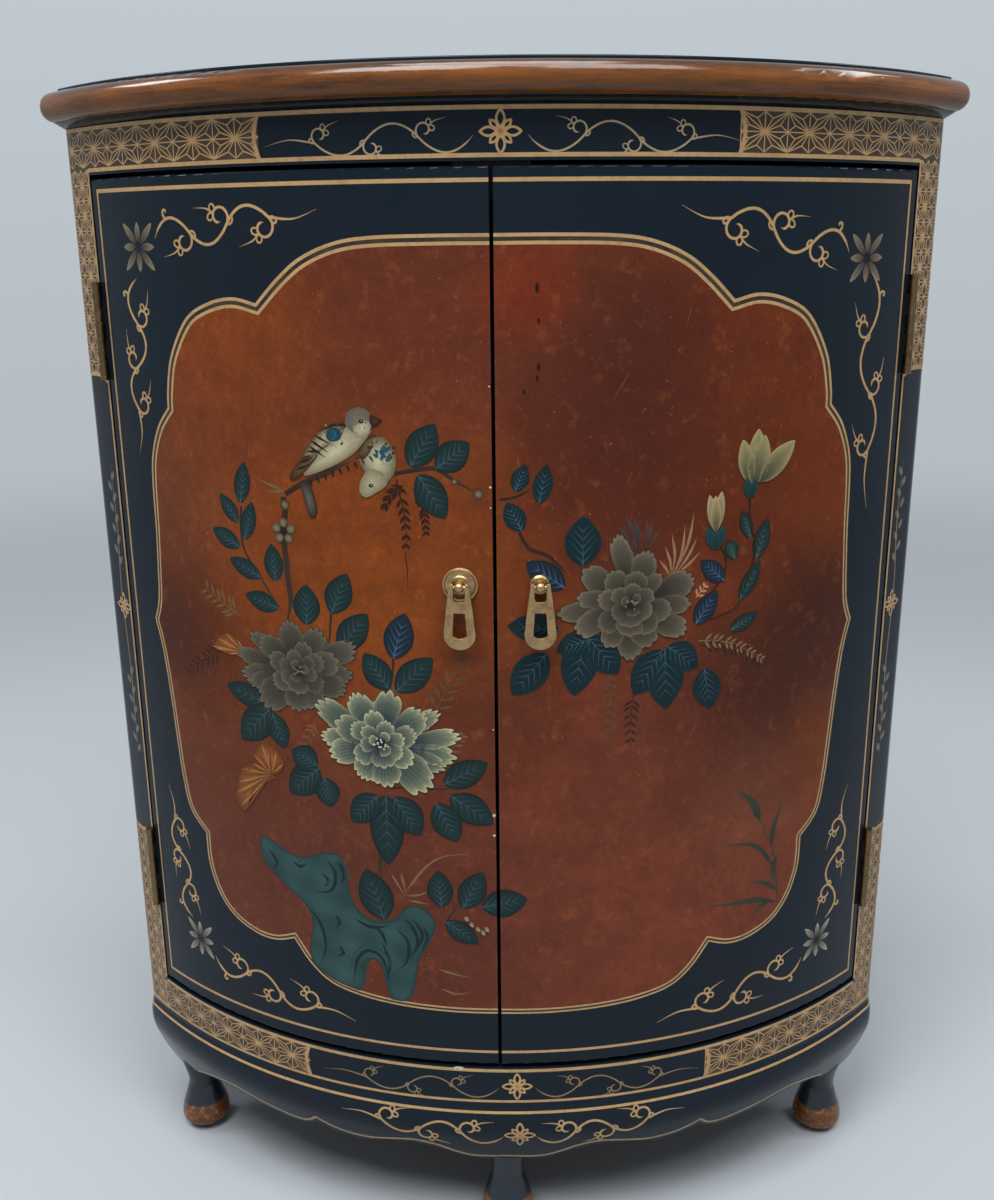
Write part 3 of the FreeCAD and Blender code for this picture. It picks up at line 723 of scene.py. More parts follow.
def timber_material(name, wood):
    nodes = Nodes(name)
    grain = nodes.noise(22.0, 8.0, 0.65, (6.0, 0.6, 0.6))
    base = nodes.over(wood, mix(wood, colour(78, 50, 30), 0.7), grain, 0.35, 0.7)
    pores = nodes.noise(240.0, 3.0, 0.6, (4.0, 0.5, 0.5))
    nodes.base(nodes.over(base, colour(60, 38, 24), pores, 0.6, 0.7, 0.35))
    nodes.rough(nodes.noise(60.0), 0.45, 0.65)
    nodes.bump(grain, 0.08, 0.0006)
    return nodes.material


def plastic_material(name):
    nodes = Nodes(name)
    nodes.base(nodes.over(colour(70, 54, 42), colour(52, 40, 32), nodes.noise(80.0), 0.3, 0.7))
    nodes.rough(nodes.noise(300.0), 0.4, 0.55)
    nodes.bump(nodes.noise(1200.0, 2.0), 0.1, 0.0003)
    return nodes.material


def backdrop_material(name, pale, haze):
    """A floor that takes the object's shadow and fades into a pale haze far from it, in gloss too."""
    nodes = Nodes(name)
    cool = mix(pale, colour(150, 158, 168), 0.6)
    nodes.base(nodes.over(pale, cool, nodes.noise(0.6, 2.0), 0.3, 0.7, 0.12))
    nodes.rough(nodes.noise(3.0), 0.75, 0.85)
    reach = nodes.tree.nodes.new("ShaderNodeVectorMath")
    reach.operation = "LENGTH"
    nodes.link(nodes.place, reach.inputs[0])
    far = nodes.span(reach.outputs["Value"], 1.6, 3.5, 0.0, 1.0)
    glow = nodes.tree.nodes.new("ShaderNodeEmission")
    nodes.link(nodes.over(mix(pale, haze, 0.6), haze, nodes.height(), 0.1, 1.8), glow.inputs["Color"])
    share = nodes.combine("MULTIPLY", far, seen_rays(nodes.tree))
    mix_shaders(nodes.tree, share, nodes.shader.outputs["BSDF"], glow.outputs["Emission"], "Material Output")
    return nodes.material


# Colours of flowers, leaves and birds

LEAF_DARK = colour(17, 28, 29)
LEAF_TEAL = colour(28, 49, 49)
LEAF_BLUE = colour(28, 42, 58)
LEAF_NAVY = colour(18, 35, 43)
LEAF_RIM = colour(17, 43, 43)
LEAF_VEIN = colour(58, 80, 86)
LEAF_VEIN_BLUE = colour(70, 96, 126)
LEAF_VEIN_GREEN = colour(62, 98, 80)
LEAF_VEIN_COOL = colour(54, 86, 94)
TWIG = colour(48, 34, 24)
RUST = colour(50, 26, 17)
STRAW = colour(118, 90, 62)
CREAM = colour(206, 197, 148)
WHITE = colour(214, 208, 182)
BELLY = colour(186, 180, 148)
ASH_BODY = colour(74, 71, 60)
ROCK_TEAL = colour(52, 80, 77)
ROCK_DARK = colour(22, 40, 43)
ASH_PEONY = (colour(114, 108, 90), ASH_BODY, colour(44, 40, 33))
CREAM_PEONY = (CREAM, colour(98, 108, 92), colour(24, 40, 56))
SAND_PEONY = (colour(122, 112, 92), colour(80, 74, 62), colour(38, 34, 29))


# Gold ornament

VINE_BENDS = 3
VINE_RUNS = 10
VINE_LEAFY = 0.74
HOOK = ((0, 0), (-0.16, 0.3), (-0.06, 0.52), (0.12, 0.46), (0.1, 0.3))
TENDRIL_RUNS = 26
TENDRIL_BACK = 15


def hemp_leaf(paint, start, end, low, high, pitch, width, tint, run=3.0):
    """A square hemp-leaf band: whole stars along its middle, half stars at its edges."""
    middle = (low + high) / 2
    half = (high - low) / 2
    count = max(1, round((end - start) / pitch))
    step = (end - start) / count
    lines = [[(start, middle), (end, middle)]]
    for i in range(count):
        left = start + i * step
        star = (left + step / 2, middle)
        lines.append([(left, low), (left, high)])
        lines.append([(star[0], low), (star[0], high)])
        for up in SIDES:
            for way in SIDES:
                beside_star = (star[0] + way * step / 2, middle)
                over_star = (star[0], middle + up * half)
                corner = (beside_star[0], over_star[1])
                high_knot = (star[0] + way * step / 6, middle + up * half * 2 / 3)
                side_knot = (star[0] + way * step / 3, middle + up * half / 3)
                lines.append([star, corner])
                for other in (star, over_star, corner):
                    lines.append([high_knot, other])
                for other in (star, beside_star, corner):
                    lines.append([side_knot, other])
    for line in lines:
        paint.stroke(line, width, tint, step=run)


def hemp_leaf_upright(paint, left, right, low, high, pitch, width, tint):
    """The same band standing upright."""
    standing = Paint()
    hemp_leaf(standing, low, high, left, right, pitch, width, tint, 1.5)
    below = paint.layer
    for mark in standing.marks:
        corners = [(y, x) for x, y, layer, shade in mark]
        paint.layer = below + mark[0][2]
        paint.face_mark(corners, [shade for x, y, layer, shade in mark])
    paint.layer = below


def filled(paint, left, right, low, high, tint, low_bow=0.0, high_bow=0.0):
    """A plain field, with its lower and upper edge bowed up by a height in the middle."""
    columns = max(2, round((right - left) / 1.5))
    rows = []
    for y, bow in ((low, low_bow), (high, high_bow)):
        row = []
        for i in range(columns + 1):
            across = 2 * i / columns - 1
            row.append((left + (right - left) * i / columns, y + bow * (1 - across * across)))
        rows.append(row)
    paint.plain_grid(rows, tint)


def tendril(paint, start, course, hand, size, width, tint):
    """A shoot that leaves the stem and rolls up, with two lobes and a thin tail on its back."""
    spot = start
    angle = course
    turn = hand * 1.9 * pi / TENDRIL_RUNS
    points = [start]
    courses = [course]
    for i in range(TENDRIL_RUNS):
        radius = size * (1.08 - 0.66 * i / TENDRIL_RUNS)
        angle += turn / 2
        spot = polar(spot, radius * abs(turn), angle)
        angle += turn / 2
        points.append(spot)
        courses.append(angle)
    paint.stroke(points, width, tint, (0.0, 0.1), step=1.2)
    back = points[TENDRIL_BACK]
    out = courses[TENDRIL_BACK] - hand * pi / 2
    for lean in SIDES:
        paint.ring(polar(back, size * 0.46, out + lean), size * 0.3, width * 0.7, tint, 1.3, out + lean)
    knee = polar(back, size, out - 0.15 * hand)
    tip = polar(back, size * 2.5, out + 0.1 * hand)
    paint.stroke([back, knee, tip], width * 0.85, tint, (0.0, 0.9), step=2.0)


def vine(paint, start, end, swing, width, tint, hand, roll, hooked=False):
    """A wavy stem from a flower to a thin tip, with a tendril rolled back into each bend."""
    length = hypot(end[0] - start[0], end[1] - start[1])
    ax, ay = (end[0] - start[0]) / length, (end[1] - start[1]) / length
    runs = VINE_RUNS * VINE_BENDS

    def off(point, forward, out):
        """A point moved along the vine and towards the side of its first bend."""
        return (point[0] + ax * forward - ay * hand * out, point[1] + ay * forward + ax * hand * out)

    stem = []
    for i in range(runs + 1):
        share = i / runs
        wave = sin(pi * VINE_BENDS * share)
        out = swing * (1 if wave > 0 else -1) * abs(wave) ** 0.85 * (1 - 0.2 * share)
        stem.append(off(start, length * VINE_LEAFY * share, out))
    paint.stroke(stem, width, tint, (0.08, 0.0), step=2.5)
    for bend in range(1, VINE_BENDS + 1):
        fork = stem[VINE_RUNS * bend]
        course = heading(stem[VINE_RUNS * bend - 1], fork)
        side = -hand if bend % 2 else hand
        tendril(paint, fork, course, side, roll, width * 0.9, tint)
        spot = off(fork, roll * 0.45, hand * side * roll * 0.3)
        paint.ring(spot, roll * 0.24, width * 0.75, tint, 1.5, course)
    if hooked:
        hook = [off(stem[4], swing * forward, swing * out) for forward, out in HOOK]
        paint.stroke(hook, width * 0.9, tint, (0.0, 0.2), step=1.0)
    last = stem[-1]
    knee = off(mix(last, end, 0.5), 0, (-1) ** VINE_BENDS * swing * 0.3)
    paint.stroke([last, knee, end], width * 0.9, tint, (0.0, 0.8), step=2.5)


def petal_outline(centre, angle, near, far, half):
    """Outline of one petal of a small flower."""
    points = []
    for i in range(ROUND_SIDES + 1):
        share = i / ROUND_SIDES
        points.append((near + (far - near) * share, half * sin(pi * share) ** 0.8))
    outline = points + [(x, -y) for x, y in reversed(points[1:-1])]
    return [turned((centre[0] + x, centre[1] + y), centre, angle) for x, y in outline]


def pointed_petal(paint, base, tip, width, bright, shade, rim=0.55):
    """A long petal that is bright at its tip and shaded at its foot."""
    length = hypot(tip[0] - base[0], tip[1] - base[1])
    angle = heading(base, tip)
    steps = 10
    rows = []
    tints = []
    for i in range(steps + 1):
        share = i / steps
        half = width * 0.03
        if 0 < i < steps:
            half = width / 2 * max(sin(pi * share ** 0.9) ** 0.7, 0.05)
        row = []
        for across in (-1.0, -0.5, 0.0, 0.5, 1.0):
            row.append(turned((base[0] + length * share, base[1] + half * across), base, angle))
        rows.append(row)
        body = mix(shade, bright, share ** 1.3)
        edge = mix(body, bright, rim)
        tints.append((edge, body, mix(body, shade, 0.25), body, edge))
    paint.grid(rows, tints)
    paint.rise()


def corner_flower(paint, centre, size, bright):
    """Eight petals, bright at their tips and lost in the dark at the middle."""
    for i in range(8):
        angle = i * pi / 4
        foot = polar(centre, size * 0.14, angle)
        tip = polar(centre, size * (1.0 if i % 2 else 0.74), angle)
        pointed_petal(paint, foot, tip, size * 0.25, bright, colour(22, 22, 22), 0.0)


def outlined_flower(paint, centre, size, width, tint, heart):
    """An eight-petal flower in gold outline."""
    paint.rise()
    for i in range(8):
        far, half = (0.72, 0.13) if i % 2 else (1.0, 0.2)
        outline = petal_outline(centre, i * pi / 4, size * 0.2, size * far, size * half)
        paint.stroke(outline + outline[:1], width, tint, step=3.0)
    paint.rise()
    paint.dot(centre, size * 0.2, tint, heart)


class GoldPens:
    """Colours of the gold work and its line widths in millimetres."""

    def __init__(self, scene):
        finish = scene.cabinet_finish
        sizes = scene.cabinet_sizes
        self.gold = tuple(finish.gold)
        self.brown = tuple(finish.lattice_ground)
        self.lacquer = tuple(finish.lacquer)
        self.line = sizes.border_line * 1000
        self.thin = sizes.scroll_line * 1000
        self.fine = sizes.lattice_line * 1000


# Gold on the doors: arc lengths and heights

DOOR_EDGE = 338.5
DOOR_TOP_LINE = 862
DOOR_LOW_LINE = 186.8
UPPER_SCROLL = {-1: (827, 664), 1: (812, 616)}
UPPER_FLOWER = {-1: 821, 1: 808}


def door_gold(side, pens):
    """Border lines, corner flowers and scrolls of one door."""
    paint = Paint()
    inner = SEAM_ARC + side * (SEAM_HALF + 0.5)
    outer = side * DOOR_EDGE
    line, gold = pens.line, pens.gold
    paint.stroke([(inner, DOOR_TOP_LINE), (outer, DOOR_TOP_LINE)], line, gold, step=6.0)
    paint.stroke([(outer, DOOR_TOP_LINE + 1.3), (outer, DOOR_LOW_LINE - 1.1)], line * 0.7, gold, step=60.0)
    paint.stroke([(inner, DOOR_LOW_LINE), (outer, DOOR_LOW_LINE)], line * 0.8, gold, step=6.0)
    paint.rise()
    corner_flower(paint, (side * 290, UPPER_FLOWER[side]), 24, colour(142, 128, 102))
    corner_flower(paint, (side * 288, 237), 22, colour(176, 172, 154))
    crown, tail = UPPER_SCROLL[side]
    for start, end, swing, hand, roll in (
            ((270, crown), (126, 845), 12.5, -1, 7.6), ((296, 798), (312, tail), 11.5, 1, 7.2),
            ((270, 226), (126, 203), 11.5, 1, 7.4), ((297, 255), (315, 376), 10.5, -1, 6.8)):
        start = (side * start[0], start[1])
        end = (side * end[0], end[1])
        vine(paint, start, end, swing, pens.thin, gold, hand * side, roll, True)
    return paint


# Gold on the carcass: arc lengths and heights

LATTICE_RISE = 10
CORNER_END = 396
STILE_IN = 350
STILE_MIDDLE = 372.5
STILE_OUT = 394
STILE_LEAF_ARC = 362
FRIEZE_END = 168
FRIEZE_LOW = 878.5
FRIEZE_HIGH = 906
RAIL_END = 172
RAIL_LATTICE_OUT = 352
RAIL_LOW = 139.5
RAIL_HIGH = 168
UPPER_BAND = 717
LOWER_BAND = 323
BAND_BOW = 6
SCALLOP = [
    [(0, 74), (32, 74), (60, 85.5)],
    [(60, 85.5), (82, 89), (122, 81.5), (150, 83.5), (170, 91)],
    [(170, 91), (180, 84), (196, 82), (232, 86.5), (267, 91), (300, 84), (322, 74)],
]


def stile_lattice(paint, side, low, high, pitch, pens):
    """Two upright hemp-leaf bands side by side, round the corner of the front."""
    for start, end in ((STILE_IN + 1, STILE_MIDDLE), (STILE_MIDDLE, STILE_OUT)):
        hemp_leaf_upright(paint, *between(side, start, end), low, high, pitch, pens.fine, pens.gold)


def vine_pair(paint, left, right, swing, width, tint, roll):
    """Two vines that leave a flower to the left and to the right."""
    for (start, end), hand in ((left, 1), (right, -1)):
        vine(paint, start, end, swing, width, tint, hand, roll)


def frieze_gold(pens):
    paint = Paint()
    line, gold = pens.line, pens.gold
    for side in SIDES:
        filled(paint, *between(side, CORNER_END, FRIEZE_END), FRIEZE_LOW, FRIEZE_HIGH, pens.brown)
        filled(paint, *between(side, CORNER_END, STILE_IN), UPPER_BAND, FRIEZE_LOW, pens.brown, BAND_BOW)
    paint.rise(LATTICE_RISE)
    for side in SIDES:
        hemp_leaf(paint, *between(side, STILE_OUT, FRIEZE_END), 879.5, 905.5, 37.0, pens.fine, gold)
        stile_lattice(paint, side, UPPER_BAND + 4, 878, 22.4, pens)
    paint.rise(LATTICE_RISE)
    paint.stroke([(-CORNER_END, 907), (CORNER_END, 907)], line, gold, step=2.0)
    paint.stroke([(-349, 877.4), (349, 877.4)], line, gold, step=5.0)
    for side in SIDES:
        end = side * FRIEZE_END
        paint.stroke([(end, 906), (end + side * 3.5, 892), (end, 878)], line * 1.1, gold, step=3.0)
    pale = mix(gold, colour(150, 148, 124), 0.5)
    vine_pair(paint, ((-16, 890), (-163, 886)), ((20, 890), (170, 886)), 10.5, pens.thin * 0.62, pale, 5.3)
    outlined_flower(paint, (2, 892), 13.5, pens.thin * 0.75, gold, colour(140, 84, 40))
    return paint


def stile_gold(pens):
    paint = Paint()
    line, gold = pens.line, pens.gold
    leafy = colour(112, 116, 100)
    dim = mix(leafy, pens.lacquer, 0.6)
    for side in SIDES:
        filled(paint, *between(side, CORNER_END, STILE_IN), 136, LOWER_BAND, pens.brown, 0, -BAND_BOW)
    paint.rise(LATTICE_RISE)
    for side in SIDES:
        edge = side * STILE_IN
        stile_lattice(paint, side, 138, LOWER_BAND - 4, 22.6, pens)
        paint.stroke([(edge, 878), (edge, 172)], line * 0.75, gold, step=60.0)
        for level, bow in ((UPPER_BAND, BAND_BOW), (LOWER_BAND, -BAND_BOW)):
            arch = [(edge, level), (side * 370, level + bow), (side * STILE_OUT, level)]
            paint.stroke(arch, line * 0.9, gold, step=3.0)
        for i in range(9):
            lean, turn = (3, 0.9) if i % 2 else (-3, 2.2)
            for top in (640, 470):
                spot = (side * (STILE_LEAF_ARC + lean), top - 9 * i)
                paint.dot(spot, 2.6, dim, leafy, 1.8, side * turn)
        stalk = [(side * arc, height) for arc, height in (
            (362, 650), (359, 600), (363, 540), (360, 470), (362, 392))]
        paint.stroke(stalk, 1.2, mix(gold, pens.lacquer, 0.45), (0.2, 0.2), step=6.0)
        outlined_flower(paint, (side * 361, 528), 11, pens.thin * 0.75, gold, colour(150, 90, 44))
    return paint


def rail_gold(pens):
    paint = Paint()
    line, gold = pens.line, pens.gold
    for side in SIDES:
        filled(paint, *between(side, RAIL_LATTICE_OUT, RAIL_END), RAIL_LOW, RAIL_HIGH, pens.brown)
    paint.rise(LATTICE_RISE)
    for side in SIDES:
        hemp_leaf(paint, *between(side, RAIL_LATTICE_OUT, RAIL_END), 140.5, 167, 36.0, pens.fine, gold)
    paint.rise(LATTICE_RISE)
    paint.stroke([(-CORNER_END, 139), (CORNER_END, 139)], line * 0.8, gold, step=2.0)
    paint.stroke([(-349, 168.6), (349, 168.6)], line, gold, step=5.0)
    for side in SIDES:
        end = side * RAIL_END
        paint.stroke([(end, 168), (end + side * 3.5, 154), (end, 140)], line, gold, step=3.0)
    faint = mix(gold, colour(70, 70, 60), 0.55)
    vine_pair(paint, ((-6, 152), (-158, 150)), ((24, 152), (166, 150)), 9.5, pens.thin * 0.56, faint, 4.9)
    outlined_flower(paint, (9, 153.5), 12, pens.thin * 0.75, gold, colour(160, 96, 50))
    paint.dot((-39, 169.6), 1.8, colour(190, 184, 160), WHITE, 2.6)
    return paint


def apron_gold(pens):
    paint = Paint(apron_face)
    gold = pens.gold
    grey_gold = mix(gold, colour(110, 108, 98), 0.4)
    paint.stroke([(-390, 129), (390, 129)], pens.line * 0.8, gold, step=2.0)
    half = chain(SCALLOP, 4.0)
    lower_edge = [(-x, y) for x, y in reversed(half[1:])] + half
    paint.stroke(beside(lower_edge, 4.0), 2.1, grey_gold, step=4.0)
    for side in SIDES:
        end = [(side * arc, height) for arc, height in ((389, 129), (389, 112), (388, 92), (386, 74))]
        paint.stroke(end, 1.6, grey_gold, (0.0, 0.5), step=3.0)
    vine_pair(paint, ((-3, 105), (-142, 116)), ((25, 105), (152, 116)), 10.5, pens.thin, gold, 7.0)
    outlined_flower(paint, (11, 107), 12.5, pens.thin * 0.75, gold, colour(160, 96, 50))
    return paint


# Outline of the painted panel: distance from the seam and height, from cusp to cusp

PANEL_STEP = 3.0
PANEL_CROWN = chain([
    [(0, 828), (40, 828), (85, 827), (112, 823), (137, 813), (156, 799), (174, 782)],
    [(174, 782), (194, 786), (217, 782), (240, 770), (259, 742), (266, 716), (267, 703)],
    [(267, 703), (281, 687), (291, 664), (294, 641), (295, 605), (297, 575), (300, 545), (307, 527)],
], PANEL_STEP)
PANEL_FOOT = chain([
    [(0, 223), (40, 223), (85, 225), (117, 229), (142, 236), (160, 250), (175, 270)],
    [(175, 270), (193, 264), (214, 265), (238, 275), (254, 293), (263, 318), (264, 345)],
    [(264, 345), (281, 362), (288, 389), (292, 427), (295, 461), (300, 501), (307, 527)],
], PANEL_STEP)
PANEL_ROWS = 44
COLUMN_GAP = 0.6


def height_at(line, place):
    for (ax, ay), (bx, by) in zip(line, line[1:]):
        if ax <= place <= bx:
            return ay + (by - ay) * (place - ax) / max(bx - ax, 1e-6)
    return line[-1][1]


# Soft clouds in the warm ground: arc length, height, reach and colour

GROUND_CLOUDS = [
    (-130, 595, 110, colour(140, 69, 21)),
    (-85, 555, 46, colour(158, 80, 20)),
    (-40, 590, 70, colour(122, 60, 22)),
    (-20, 480, 50, colour(92, 46, 30)),
    (-230, 735, 70, colour(132, 64, 28)),
    (-185, 772, 45, colour(156, 78, 22)),
    (-270, 640, 60, colour(112, 62, 36)),
    (-160, 705, 46, colour(116, 58, 30)),
    (-270, 525, 54, colour(46, 22, 16)),
    (-240, 425, 60, colour(112, 55, 26)),
    (-200, 365, 90, colour(98, 54, 42)),
    (-60, 780, 90, colour(100, 49, 34)),
    (-150, 755, 60, colour(108, 54, 30)),
    (-40, 300, 90, colour(94, 48, 38)),
    (18, 790, 26, colour(136, 46, 18)),
    (95, 735, 65, colour(66, 31, 27)),
    (80, 655, 60, colour(80, 35, 24)),
    (210, 740, 70, colour(104, 45, 20)),
    (270, 660, 52, colour(126, 56, 10)),
    (210, 640, 60, colour(90, 38, 20)),
    (264, 542, 46, colour(40, 18, 12)),
    (205, 465, 66, colour(50, 25, 22)),
    (110, 430, 60, colour(104, 52, 38)),
    (262, 425, 36, colour(124, 62, 20)),
    (198, 392, 46, colour(120, 72, 50)),
    (120, 320, 110, colour(126, 63, 45)),
]
PLAIN_WEIGHT = 0.45
CLOUD_WEIGHT = 1.8


def ground_colour(arc, height, plain):
    """The plain ground, drawn towards the clouds that reach a place."""
    total = [PLAIN_WEIGHT * value for value in plain]
    weight = PLAIN_WEIGHT
    for cloud_arc, cloud_height, reach, shade in GROUND_CLOUDS:
        far = ((arc - cloud_arc) ** 2 + (height - cloud_height) ** 2) / reach ** 2
        share = max(0.0, 1 - far / 3) ** 2 * CLOUD_WEIGHT
        total = [value + share * part for value, part in zip(total, shade)]
        weight += share
    return tuple(value / weight for value in total)


def panel_ground(side, plain):
    """One door's half of the clouded field."""
    places = sorted({round(x, 1) for x, y in PANEL_CROWN + PANEL_FOOT})
    columns = [places[0]]
    for place in places[1:]:
        if place - columns[-1] > COLUMN_GAP:
            columns.append(place)
    rows = []
    for i in range(PANEL_ROWS + 1):
        row = []
        for place in columns:
            low, high = height_at(PANEL_FOOT, place), height_at(PANEL_CROWN, place)
            row.append((SEAM_ARC + side * place, low + (high - low) * i / PANEL_ROWS))
        rows.append(row)
    paint = Paint()
    paint.grid(rows, [[ground_colour(x, y, plain) for x, y in row] for row in rows])
    return paint


def outline_breadth(height):
    """The outline is broad over the crown and finer below."""
    return 0.62 + 0.38 * min(max((height - 600) / 190, 0.0), 1.0)


def panel_outline(side, gold, dark):
    """Two gold lines with a dark one between them."""
    paint = Paint()
    paint.rise(3)
    for line, inward in ((PANEL_CROWN, -1), (PANEL_FOOT, 1)):
        for start, end, tint in ((0.0, 2.5, gold), (2.4, 5.3, dark), (5.2, 7.6, gold)):
            rows = []
            for place in (start, end):
                shifts = [inward * place * outline_breadth(y) for x, y in line]
                rows.append([(SEAM_ARC + side * x, y) for x, y in beside(line, shifts)])
            paint.plain_grid(rows, tint)
            paint.rise(3)
    return paint


# Flowers and leaves

LEAF_RISE = 2
LEAF_STEPS = 16
LEAF_RIBS = 5


def leaf(paint, base, tip, width, body, vein, edge):
    """A leaf with a dark edge, a lighter middle and fine straight veins."""
    length = hypot(tip[0] - base[0], tip[1] - base[1])
    angle = heading(base, tip)
    rows = []
    tints = []

    def half_width(share):
        return width / 2 * max(sin(pi * share ** 0.9) ** 0.76, 0.02) if 0 < share < 1 else width * 0.01

    for i in range(LEAF_STEPS + 1):
        share = i / LEAF_STEPS
        row = []
        shades = []
        for across in (-1.0, -0.86, 0.0, 0.86, 1.0):
            spot = (base[0] + length * share, base[1] + half_width(share) * across)
            row.append(turned(spot, base, angle))
            shades.append(edge if abs(across) == 1.0 else mix(body, edge, 0.4 * abs(across) + 0.2 * share))
        rows.append(row)
        tints.append(shades)
    paint.grid(rows, tints)
    paint.rise(LEAF_RISE)
    paint.stroke([base, mix(base, tip, 0.9)], 0.9, vein, (0.0, 0.9), fade=body)
    for i in range(LEAF_RIBS):
        share = 0.06 + 0.62 * i / (LEAF_RIBS - 1)
        start = (base[0] + length * share, base[1])
        reach = 0.8 * half_width(min(share + 0.16, 0.97))
        for side in SIDES:
            end = (start[0] + reach * 1.15, start[1] + side * reach)
            line = [turned(p, base, angle) for p in (start, end)]
            paint.stroke(line, 0.62, vein, (0.0, 0.7), fade=mix(vein, body, 0.5))
    paint.rise(LEAF_RISE)


PETAL_COLUMNS = 24


def peony_petal(paint, centre, angle, near, far, half, shades, chance, ragged):
    """A broad petal with a scalloped pale rim that fades into the flower's heart."""
    rim, body, heart = shades
    lobes = chance.choice((3, 4, 5))
    lean = chance.uniform(-0.12, 0.12)
    rows = []
    tints = []
    for share, shade in (
            (0.0, heart), (0.35, mix(heart, body, 0.3)), (0.65, mix(heart, body, 0.75)),
            (0.84, mix(body, rim, 0.15)), (0.94, mix(body, rim, 0.55)), (1.0, rim)):
        row = []
        tones = []
        wide = half * (0.30 + 0.70 * share ** 0.6) * (1 - 0.16 * max(0.0, share - 0.7) / 0.3)
        for j in range(PETAL_COLUMNS + 1):
            across = 2 * j / PETAL_COLUMNS - 1
            dome = 1 - (0.26 + lean * across) * across * across
            scallop = abs(sin(pi * lobes * (across + 1) / 2 + lean * 6)) ** 0.7
            out = near + (far - near) * share * dome * (1 - ragged * share ** 4 * (1 - scallop))
            x, y = turned((out, wide * across), (0, 0), angle)
            row.append((centre[0] + x, centre[1] + y))
            tones.append(mix(shade, rim, 0.45 * share * abs(across) ** 6))
        rows.append(row)
        tints.append(tones)
    edge = [mix(centre, spot, 1.012) for spot in rows[-1]]
    paint.plain_grid([rows[2], edge], mix(heart, body, 0.45))
    paint.rise()
    paint.grid(rows, tints)
    paint.rise()
    for j in range(3, PETAL_COLUMNS - 2, 3):
        line = [rows[1][j], rows[2][j], rows[3][j]]
        paint.stroke(line, 0.55, mix(heart, body, 0.5), (0.3, 0.8), fade=mix(body, rim, 0.35), step=6.0)


# Petals from the back to the front: angle in degrees, foot, reach and half width as shares of the flower

WIDE_PEONY = (
    (152, 0.25, 0.99, 0.20), (178, 0.25, 0.82, 0.16), (31, 0.30, 0.90, 0.13), (8, 0.30, 1.04, 0.15),
    (-9, 0.30, 0.98, 0.16), (-19, 0.30, 0.88, 0.15), (118, 0.20, 0.74, 0.20), (79, 0.20, 0.74, 0.21),
    (37, 0.20, 0.74, 0.21), (241, 0.20, 0.58, 0.21), (-42, 0.15, 0.86, 0.28), (197, 0.20, 0.74, 0.21),
    (159, 0.15, 0.66, 0.21), (-82, 0.15, 0.60, 0.23), (105, 0.10, 0.46, 0.16), (20, 0.10, 0.50, 0.17),
    (-32, 0.10, 0.48, 0.18), (150, 0.10, 0.45, 0.16), (215, 0.10, 0.43, 0.17), (73, 0.05, 0.33, 0.13),
    (139, 0.05, 0.32, 0.12), (18, 0.05, 0.33, 0.12), (189, 0.05, 0.29, 0.12), (-30, 0.05, 0.32, 0.13),
    (-85, 0.05, 0.34, 0.19), (60, 0.02, 0.18, 0.08), (160, 0.02, 0.17, 0.08), (-60, 0.02, 0.18, 0.10),
)
ROUND_PEONY = (
    (185, 0.30, 1.08, 0.17), (102, 0.25, 1.06, 0.18), (18, 0.30, 0.99, 0.24), (-31, 0.30, 0.96, 0.21),
    (202, 0.25, 0.89, 0.22), (143, 0.25, 0.90, 0.22), (-4, 0.25, 0.90, 0.17), (169, 0.20, 0.81, 0.16),
    (269, 0.20, 0.84, 0.22), (73, 0.20, 0.81, 0.22), (-68, 0.20, 0.71, 0.22), (238, 0.20, 0.72, 0.20),
    (45, 0.15, 0.60, 0.14), (125, 0.15, 0.60, 0.20), (-15, 0.15, 0.62, 0.20), (215, 0.15, 0.58, 0.20),
    (-50, 0.15, 0.55, 0.20), (165, 0.10, 0.52, 0.18), (80, 0.10, 0.50, 0.20), (265, 0.10, 0.48, 0.24),
    (140, 0.05, 0.36, 0.15), (30, 0.05, 0.36, 0.15), (-30, 0.05, 0.34, 0.16), (210, 0.05, 0.33, 0.16),
    (90, 0.05, 0.32, 0.15), (270, 0.05, 0.34, 0.22), (50, 0.02, 0.18, 0.08), (150, 0.02, 0.18, 0.08),
    (-80, 0.02, 0.18, 0.12),
)
STAMENS = 14


def peony(paint, centre, size, petals, shades, seed, mirror=False, ragged=0.15):
    """A full flower of ragged petals round a dark heart with pale stamens."""
    rim, body, heart = shades
    chance = Random(seed)
    for degrees_round, near, far, half in petals:
        angle = radians(180 - degrees_round if mirror else degrees_round)
        light = chance.uniform(0.0, 0.4)
        tones = (mix(rim, body, light), mix(body, heart, light * 0.9), heart)
        peony_petal(paint, centre, angle, near * size, far * size, half * size, tones, chance, ragged)
    paint.rise_over_strokes()
    paint.dot(centre, size * 0.07, heart, mix(heart, (0.0, 0.0, 0.0), 0.4))
    paint.rise()
    for i in range(STAMENS):
        angle = chance.uniform(0, 2 * pi)
        out = size * 0.10 * sqrt(chance.random())
        spot = (centre[0] + out * cos(angle), centre[1] + out * sin(angle) * 0.8)
        paint.dot(spot, size * 0.014, mix(body, rim, 0.6), rim)
        paint.rise()


def fern(paint, points, reach, tint, pairs, width=1.1, lean=0.85):
    """A stem with small plump leaflets on both sides."""
    line = smooth_line(points, 2.0)
    paint.stroke(points, width * 0.7, tint, (0.0, 0.6))
    for i in range(pairs):
        place = round((0.12 + 0.85 * i / pairs) * (len(line) - 2))
        spot = line[place]
        course = heading(spot, line[place + 1])
        size = reach * (1 - 0.5 * i / pairs)
        for side in SIDES:
            end = polar(spot, size, course + side * lean)
            paint.stroke([spot, end], width * 2.3, tint, (0.55, 0.45), step=1.8)
    paint.rise()


